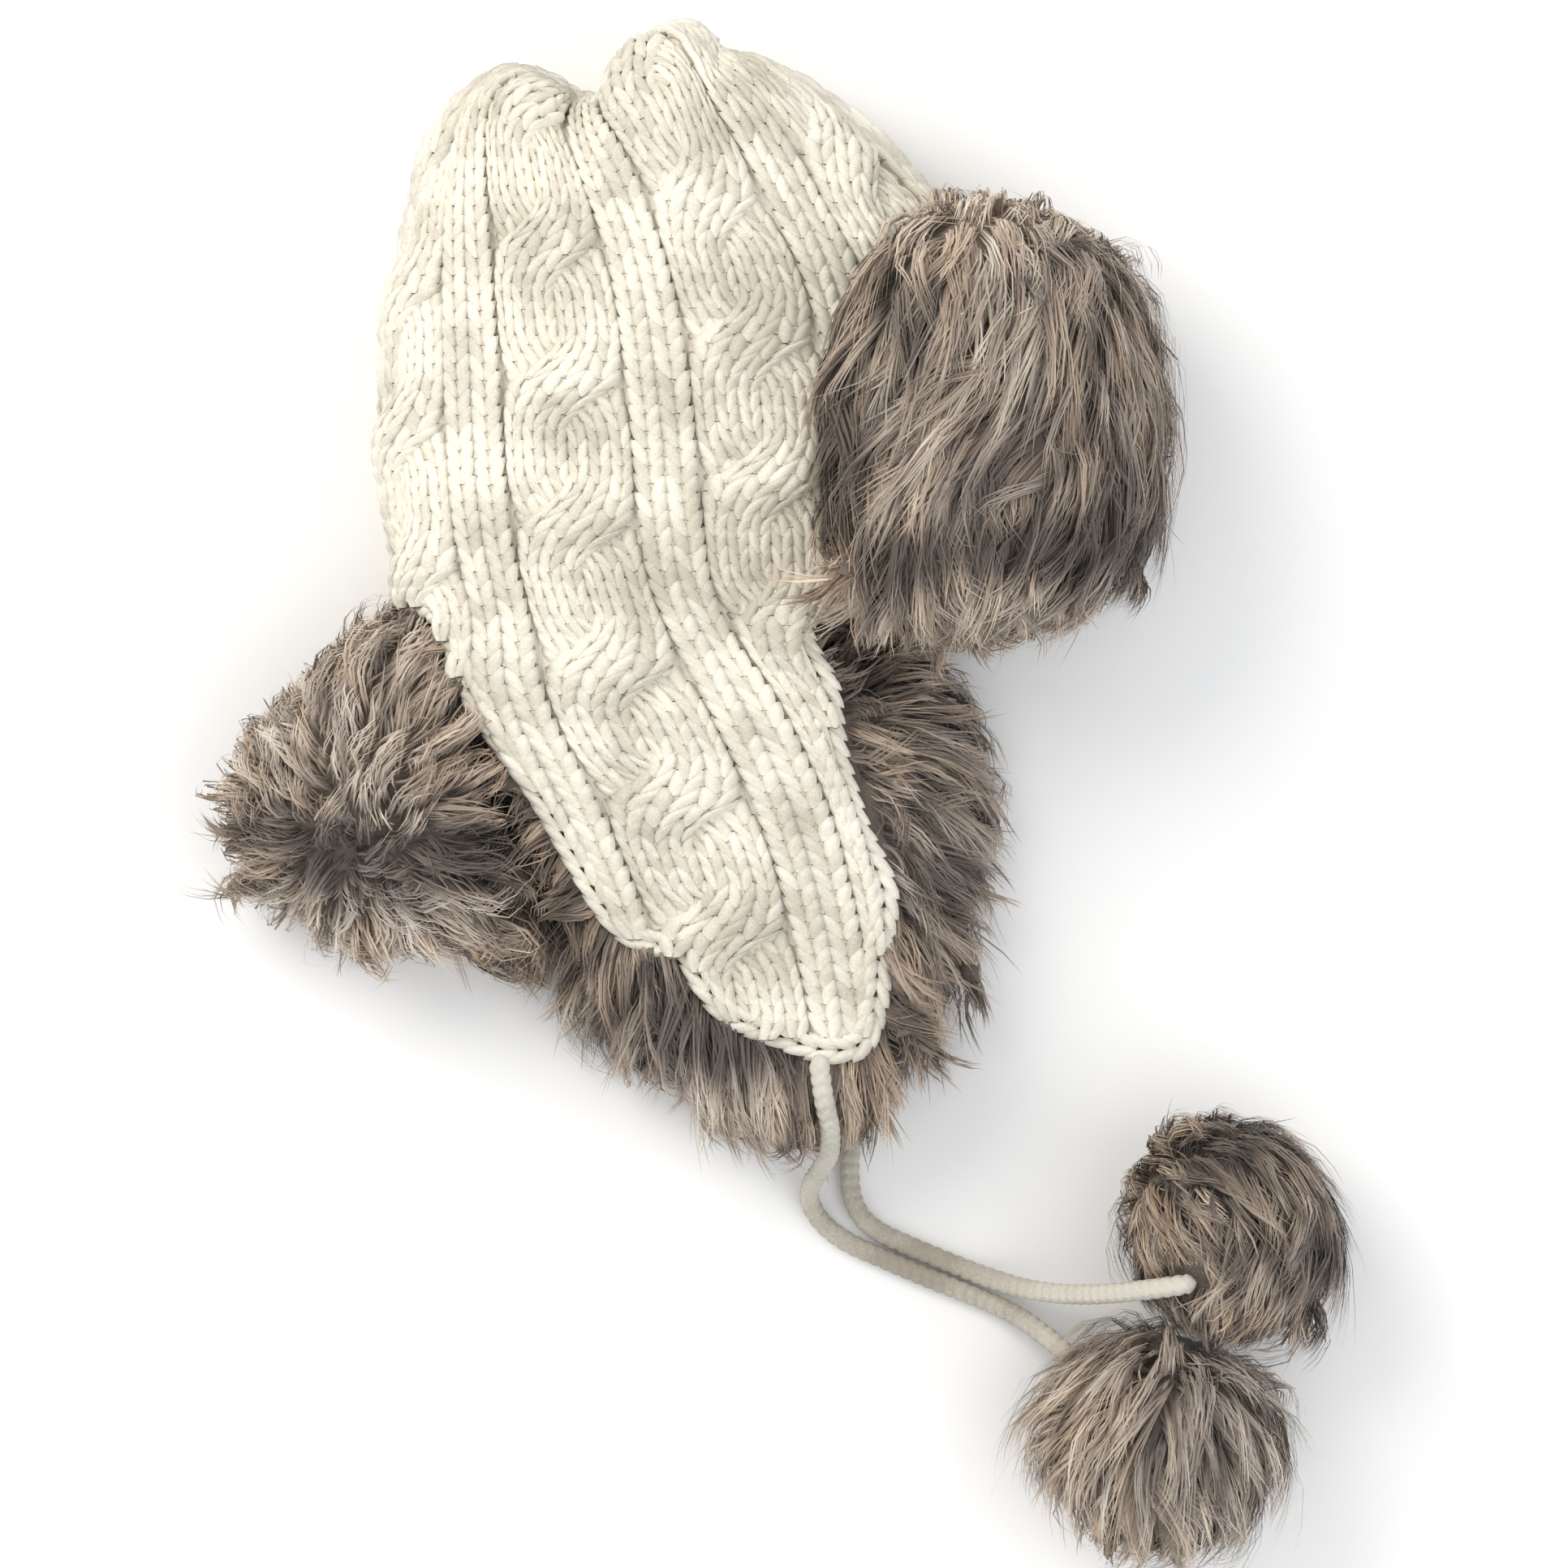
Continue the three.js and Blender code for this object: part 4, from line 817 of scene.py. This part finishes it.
def grow_hair(skin, roots_skin, blocked, count, lock_size, flow_at, shade_at, length, lift,
              stand_off, rng):
    """Hairs in locks on a soft body. Every hair belongs to a strand and every strand to a lock.
    It starts at its own root, follows its lock's line, and is drawn to its strand and to its lock
    on the way to the tip. Where it would stand off the fur's outer form it is shorter. A hair is a
    ribbon that narrows to a point. Returns points, quads, tris and a tone and a warmth for each
    point: dark at the root and light at the tip, with painted shade on the hairs at the edges of a
    lock, and the tone that shade_at gives for each place, which holds painted light and shade."""
    roots, out, area = roots_on(roots_skin, count, blocked, rng)
    lock_roots, lock_out, _ = roots_on(roots_skin, int(area / lock_size ** 2), blocked, rng)
    strand_roots, _, _ = roots_on(roots_skin, int(area / (lock_size * STRAND_SIZE) ** 2), blocked,
                                  rng)
    strand_lock = nearest(strand_roots, lock_roots)
    strand = nearest(roots, strand_roots)
    lock = strand_lock[strand]
    further = patches(lock_roots, FURTHER)
    lines = lock_lines(lock_roots, lock_out, flow_at(lock_roots), length * (1 + 0.035 * further),
                       lift * (1 + 0.05 * np.maximum(0, further)), rng)
    t = HAIR_RINGS[None, :, None]
    strand_size = rng.uniform(0.75, 1.15, (len(strand_roots), 1, 1))
    strand_stray = rng.normal(0, 0.06 * length, (len(strand_roots), 1, 3))
    strand_to_lock = (lock_roots[strand_lock] - strand_roots)[:, None, :]
    strand_path = lines[strand_lock] * strand_size + strand_stray * t ** 1.5
    allow = 0.5 + 1.25 * stand_off * (1 - np.sqrt(rng.random(len(strand_roots))))
    allow = allow + patches(strand_roots, FURTHER)
    fit = kept_within(strand_roots[:, None, :] + strand_path, skin, allow)[:, None, None]
    strand_path = strand_path * fit + strand_to_lock * 0.55 * smooth(0.1, 1.0, t)
    hair_size = rng.uniform(0.72, 1.1, (count, 1, 1))
    loose = np.where(rng.random((count, 1, 1)) < LOOSE_HAIRS, 0.11, 0.03)
    hair_stray = rng.normal(0, 1.0, (count, 1, 3)) * loose * length
    to_strand = (strand_roots[strand] - roots)[:, None, :]
    path = (strand_path[strand] * hair_size + to_strand * 0.6 * smooth(0.0, 0.9, t)
            + hair_stray * t ** 2)
    path = roots[:, None, :] + path * kept_off_ties(roots[:, None, :] + path)[:, None, None]
    path[..., 2] = np.maximum(path[..., 2], 0.4 + rng.random((count, 1)) * 2)
    ahead = unit(np.gradient(path, axis=1))
    out = out[:, None, :]
    flat = unit(np.cross(ahead, out + 0.01))
    roll = rng.normal(0, 0.15, (count, 1, 1))
    flat = flat * np.cos(roll) + np.cross(ahead, flat) * np.sin(roll)
    wide = HAIR_HALF_WIDTH * rng.uniform(0.6, 1.3, (count, 1, 1)) * HAIR_TAPER[None, :, None]
    left, right = path + flat * wide, path - flat * wide
    points = np.concatenate([np.stack([left[:, :4], right[:, :4]], 2).reshape(count, 8, 3),
                             path[:, 4:]], 1)
    place = np.array([0, 0, 1, 1, 2, 2, 3, 3, 4])       # each point's ring
    step = np.arange(count)[:, None, None] * len(place)
    quads = np.array([[1, 0, 2, 3], [3, 2, 4, 5], [5, 4, 6, 7]]) + step
    tris = np.array([[7, 6, 8]]) + step
    # hairs far from their lock's middle are darker: painted shade in the gaps between locks
    off_middle = np.linalg.norm(strand_to_lock[:, 0], axis=1) / lock_size
    of_strand = rng.normal(0.07, 0.055, len(strand_roots)) - 0.3 * np.minimum(off_middle, 1.1) ** 2
    of_lock = rng.normal(0, 0.1, len(lock_roots)) + 0.07 * tangled(lock_roots, scale=13.0, salt=7.0)
    of_hair = of_lock[lock] + of_strand[strand] + rng.normal(0, 0.025, count)
    tone = ROOT_TONE + TIP_TONE * HAIR_RINGS[place] + shade_at(path)[:, place] + of_hair[:, None]
    warm = (rng.normal(0.42, 0.12, len(strand_roots))[strand]
            + 0.3 * tangled(roots, scale=26.0, salt=9.0)
            + rng.normal(0, 0.15, len(lock_roots))[lock] + patches(roots, TANS))
    return (points.reshape(-1, 3), quads.reshape(-1, 4), tris.reshape(-1, 3), tone.ravel(),
            np.repeat(np.clip(warm, 0, 1), len(place)))


def fur_material(name, roughness, streak_millimetres):
    """Modacrylic pile, soft and slightly glossy. Tone runs from the dark root to the light tip,
    warm turns it from grey to tan, and a fine noise makes single fibres."""
    material, shader = new_material(name, {
        "Roughness": roughness, "IOR": 1.5, "Specular IOR Level": 0.3, "Sheen Weight": 0.15,
        "Sheen Roughness": 0.5})
    links = material.node_tree.links
    tone = add_node(material, "ShaderNodeAttribute", attribute_name="tone")
    warm = add_node(material, "ShaderNodeAttribute", attribute_name="warm")
    place = add_node(material, "ShaderNodeTexCoord")
    noise = add_node(material, "ShaderNodeTexNoise", {
        "Vector": place.outputs["Object"], "Scale": 1000 / streak_millimetres, "Detail": 2.0})
    spread = add_node(material, "ShaderNodeMapRange", {
        "Value": noise.outputs["Fac"], "From Min": 0.25, "From Max": 0.75,
        "To Min": -0.05, "To Max": 0.05})
    mixed = add_node(material, "ShaderNodeMath", {0: tone.outputs["Fac"], 1: spread.outputs[0]},
                     operation="ADD")
    ramps = []
    for colours in (FUR_GREYS, FUR_TANS):
        ramp = add_node(material, "ShaderNodeValToRGB", {"Fac": mixed.outputs[0]})
        stops = ramp.color_ramp.elements
        stops[0].position, stops[1].position = 0.0, 1.0
        stops[0].color, stops[1].color = linear(colours[0]), linear(colours[-1])
        for i, colour in enumerate(colours[1:-1]):
            stops.new((i + 1) / (len(colours) - 1)).color = linear(colour)
        ramps.append(ramp)
    blend = add_node(material, "ShaderNodeMix", {
        "Factor": warm.outputs["Fac"], 6: ramps[0].outputs["Color"],
        7: ramps[1].outputs["Color"]}, data_type="RGBA")
    links.new(blend.outputs[2], shader.inputs["Base Color"])
    grain = add_node(material, "ShaderNodeBump", {
        "Height": noise.outputs["Fac"], "Strength": 0.2, "Distance": 0.0008})
    links.new(grain.outputs["Normal"], shader.inputs["Normal"])
    return material


pile = fur_material("modacrylic_pile", roughness=0.62, streak_millimetres=1.2)
underfur = fur_material("short_underfur", roughness=0.9, streak_millimetres=2.2)


def plant_fur(node, count, lock_size, flow_at, lane_at, shade, shades, length, lift, stand_off,
              seed):
    """The two pieces of one fur, its soft body in the node's place and the hair on it. lift is a
    share of a lock's length, and shade is the fur's tone, to which its shades, patches of painted
    shade and painted light, and the painted light and shade of its lanes are added."""
    points, quads, faces_out = bodies[node]
    others = [p for name, (p, _, _) in bodies.items() if name != node]
    blocked = filled_room(others + [knit_cloud])
    beside = blocked[room_cells(points + faces_out * ROOM_AHEAD)]
    sunk = points - faces_out * np.where(beside, 3.0, FUR_SINK)[:, None]
    sunk[:, 2] = np.maximum(sunk[:, 2], np.minimum(points[:, 2], 0.3))
    # the underfur is dark, and lighter under the painted light of the fur's shades
    under = make_piece(node + "_underfur", sunk, quads, [], underfur, "brown_fur", None,
                       {"tone": 0.1 + 0.5 * np.maximum(0, patches(points, shades)),
                        "warm": np.full(len(points), 0.4)})
    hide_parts(node)
    *ribbons, tone, warm = grow_hair(
        bodies[node], (sunk, quads, faces_out), blocked, count, lock_size, flow_at,
        lambda points: shade + patches(points, shades) + lock_light_and_shade(lane_at(points)),
        length, lift, stand_off, np.random.default_rng(seed))
    hair = make_piece(node + "_hair", *ribbons, pile, "brown_fur", None,
                      {"tone": tone, "warm": warm})
    return [under, hair]


wall_down, wall_around = np.meshgrid(GRID_DOWN, GRID_AROUND, indexing="ij")
knit_cloud = outer_wall[0][wall_down < flap_end(wall_around) - 9]
BARE_TIE_LINE = np.concatenate([
    line * 1000.0 + MIDDLE for line in (tie_lines["near_tie"][:-12], tie_lines["far_tie"][16:])])
FUR_NODES = ("front_brim_fur", "near_flap_fur", "far_flap_fur", "neck_fur", "near_pompom",
             "far_pompom")
bodies = {node: soft_body(node) for node in FUR_NODES}

# The front brim, turned up: deep pile sewn round the front edge of the crown and faced outwards.
# It sweeps down in long waves, and is painted darkest along its lower edge, as shade.
# Painted shade and painted light on the brim's pile: x, y, half sizes across and up, strength
BRIM_SHADES = [
    (77, -22, 9, 28, -0.66), (94, -53, 19, 9, -0.8), (126, -50, 16, 9, -0.35),
    (158, -48, 30, 10, -0.8), (164, -32, 9, 14, -0.41), (120, -27, 8, 15, -0.44),
    (137, -26, 9, 10, -0.27), (148, 47, 9, 6, -0.41), (89, 36, 4, 8, -0.34), (97, 20, 6, 8, -0.31),
    (107, 28, 4, 8, -0.34), (101, 8, 6, 14, -0.27), (158, 10, 5, 16, -0.27),
    (148, -10, 9, 8, -0.24), (106, -16, 7, 16, 0.18), (97, -38, 7, 9, 0.22), (130, 4, 12, 22, 0.09),
    (138, -66, 40, 7, 0.15), (73, -55, 13, 8, 0.8), (125, 60, 44, 15, 0.36), (178, 8, 7, 40, 0.04),
]


def brim_flow(points):
    """Down and a little towards the crown, outwards at the front, up and out along the top edge,
    and back over the knit at the lower corner."""
    front = smooth(150, 186, points[:, 0])[:, None]
    top = smooth(52, 74, points[:, 1] + 0.7 * np.maximum(0, points[:, 0] - 150))[:, None]
    low = smooth(-44, -66, points[:, 1])[:, None]
    corner = patches(points, [(77, -50, 15, 11, 1.2)])[:, None]
    below = patches(points, [(82, -64, 14, 9, 1.0)])[:, None]
    down = np.array([-0.25, -1.0, -0.05]) + front * np.array([0.6, 0.15, 0.0])
    up = np.array([0.45, 0.75, 0.1])
    under = np.array([0.1, -0.6, -0.7])
    flow = (down * (1 - top) + up * top) * (1 - low) + under * low
    return flow + corner * np.array([-1.3, 0.5, 0.2]) + below * np.array([-0.9, -0.5, 0.4])


def brim_lane(points):
    """Lanes that run down the brim in long waves."""
    x, y = points[..., 0], points[..., 1]
    return 0.97 * x - 0.25 * y + 4.5 * np.sin(y / 15.0 + x / 30.0) + 0.3 * points[..., 2]


plant_fur("front_brim_fur", count=24500, lock_size=11.0, flow_at=brim_flow, lane_at=brim_lane,
          shade=0.31, shades=BRIM_SHADES, length=41.0, lift=0.18, stand_off=7.5, seed=11)

# The ear flaps' lining: the far flap faces up under the knit of the near one, and the near flap's
# own lining shows past its edge. Its locks fall away from the knit on every side.
# Painted shade and painted light on the flaps' pile, darkest under the knit's lower edge: x, y,
# half sizes across and up, strength
FLAP_SHADES = [
    (84, -86, 10, 24, -0.4), (112, -80, 22, 10, 0.22), (80, -76, 16, 9, 0.4),
    (88, -140, 14, 16, -0.2), (116, -156, 12, 9, -0.38), (97, -203, 9, 10, -0.48),
    (112, -120, 16, 14, 0.04), (40, -207, 30, 11, -0.62), (16, -192, 13, 10, -0.35),
    (-12, -165, 8, 20, -0.32), (-18, -198, 16, 12, 0.25), (30, -230, 36, 10, 0.4),
    (104, -186, 10, 14, 0.09), (-30, -150, 10, 14, -0.08),
]


def flap_flow(points):
    """Away from the middle of the flap and down."""
    away = points - np.array([48.0, -120.0, 0.0])
    away[:, 2] = 0
    return unit(away) * 0.9 + np.array([0.05, -0.45, -0.15])


def flap_lane(points):
    """Lanes that fan out from the middle of the flap."""
    return fan_lane(points, (48.0, -90.0), 90.0)


plant_fur("near_flap_fur", count=8500, lock_size=9.5, flow_at=flap_flow, lane_at=flap_lane,
          shade=0.26, shades=FLAP_SHADES, length=27.0, lift=0.22, stand_off=12.0, seed=12)
plant_fur("far_flap_fur", count=15000, lock_size=9.5, flow_at=flap_flow, lane_at=flap_lane,
          shade=0.22, shades=FLAP_SHADES, length=32.0, lift=0.24, stand_off=15.0, seed=13)

# The nape's fur: the same pile, sewn to the rim and turned out behind. It bursts from a middle
# painted dark, as shade, to spiky light ends.
NECK_MIDDLE = np.array([-80.0, -138.0, 30.0])
# Painted shade and painted light on the nape's pile: x, y, half sizes across and up, strength
NECK_SHADES = [
    (-88, -143, 14, 10, -0.65), (-48, -146, 28, 11, -0.75), (-112, -136, 9, 9, -0.36),
    (-45, -116, 20, 14, -0.17), (-72, -174, 44, 9, 0.3), (-70, -84, 20, 12, 0.04),
    (-112, -104, 12, 12, 0.13), (-66, -118, 14, 14, 0.07), (-105, -160, 12, 12, 0.07),
]


def neck_flow(points):
    """Away from the middle on every side, and a little down."""
    away = points - NECK_MIDDLE
    away[:, 2] *= 0.4
    return unit(away) + np.array([-0.05, -0.15, 0.0])


plant_fur("neck_fur", count=13000, lock_size=9.0, flow_at=neck_flow,
          lane_at=lambda points: fan_lane(points, NECK_MIDDLE, 40.0),
          shade=0.43, shades=NECK_SHADES, length=29.0, lift=0.28, stand_off=14.0, seed=14)

# The two pompoms: soft balls of the same fur, one held on the end of each tie. Each is combed away
# from where its tie goes in.
FAR_BALL = np.array([203.0, -267.0, 38.0])
NEAR_BALL_TOP = np.array([192.0, -262.0, 40.0])
FAR_BALL_TOP = np.array([166.0, -216.0, 30.0])
# Painted shade and painted light on the near pompom's pile: x, y, half sizes across and up,
# strength
NEAR_BALL_SHADES = [
    (176, -318, 18, 12, -0.12), (192, -345, 12, 14, -0.12), (150, -318, 10, 12, 0.11),
    (168, -364, 30, 9, 0.13), (214, -330, 8, 20, 0.07),
]
# Painted shade and painted light on the far pompom's pile, lit along its upper left rim
FAR_BALL_SHADES = [
    (196, -246, 14, 10, -0.42), (232, -276, 9, 14, -0.51), (212, -292, 14, 9, 0.18),
    (174, -252, 8, 24, 0.22), (192, -228, 18, 7, 0.2), (214, -236, 14, 8, -0.3),
    (230, -300, 10, 8, 0.2), (218, -256, 9, 9, 0.07),
]


def near_ball_flow(points):
    """Down from above in a fan that opens out."""
    away = unit((points - NEAR_BALL_TOP) * (1.8, 1.0, 0.5))
    return away + np.array([-0.1, -0.1, 0.0])


def far_ball_flow(points):
    """Down and to the right from the upper left, in a curve."""
    away = unit(points - FAR_BALL_TOP) * (1, 1, 0.4)
    turn = 0.5 + 0.025 * (points[:, :1] - FAR_BALL[0])
    corner = patches(points, [(182, -236, 13, 11, 2.2)])[:, None]
    return (away - turn * np.cross(np.array([0.0, 0.0, 1.0]), away)
            + corner * np.array([-0.3, 1.0, 0.2]))


ball_pieces = {
    "near_pompom": plant_fur(
        "near_pompom", count=9000, lock_size=9.0, flow_at=near_ball_flow,
        lane_at=lambda points: fan_lane(points, NEAR_BALL_TOP, 90.0),
        shade=0.43, shades=NEAR_BALL_SHADES, length=34.0, lift=0.26, stand_off=18.0, seed=15),
    "far_pompom": plant_fur(
        "far_pompom", count=9000, lock_size=9.0, flow_at=far_ball_flow,
        lane_at=lambda points: fan_lane(points, FAR_BALL_TOP, 70.0),
        shade=0.22, shades=FAR_BALL_SHADES, length=27.0, lift=0.26, stand_off=8.0, seed=16)}

# Floor and light. The floor is plain white matt paper. Soft daylight falls from a window at the
# upper left, with a wide fill from the other side.
floor_mesh = bpy.data.meshes.new("floor")
floor_mesh.from_pydata([(-3, -3, 0), (3, -3, 0), (3, 3, 0), (-3, 3, 0)], [], [(0, 1, 2, 3)])
floor = bpy.data.objects.new("floor", floor_mesh)
bpy.context.scene.collection.objects.link(floor)
paper, _ = new_material("white_paper", {"Base Color": linear("#f4f4f3"), "Roughness": 0.9})
floor_mesh.materials.append(paper)


def add_lamp(name, place, target, size, power, colour):
    """A square area lamp at a place, turned towards a target."""
    lamp = bpy.data.lights.new(name, "AREA")
    lamp.size = size
    lamp.energy = power
    lamp.color = linear(colour)[:3]
    lamp_object = bpy.data.objects.new(name, lamp)
    lamp_object.location = place
    away = np.array(place) - np.array(target)
    turn = math.atan2(away[1], away[0]) + math.pi / 2
    lamp_object.rotation_euler = (math.atan2(math.hypot(away[0], away[1]), away[2]), 0, turn)
    bpy.context.scene.collection.objects.link(lamp_object)


add_lamp("window", place=(-0.75, 0.7, 1.15), target=(0.03, -0.03, 0), size=0.9, power=13,
         colour="#fffaf2")
add_lamp("fill", place=(0.9, -0.5, 1.3), target=(0.03, -0.05, 0), size=1.4, power=7,
         colour="#f8faff")
world = bpy.data.worlds.new("studio")
world.use_nodes = True
background = world.node_tree.nodes["Background"]
background.inputs["Color"].default_value = linear("#f7f8fa")
background.inputs["Strength"].default_value = 0.9
bpy.context.scene.world = world
bpy.context.scene.view_settings.view_transform = "Standard"
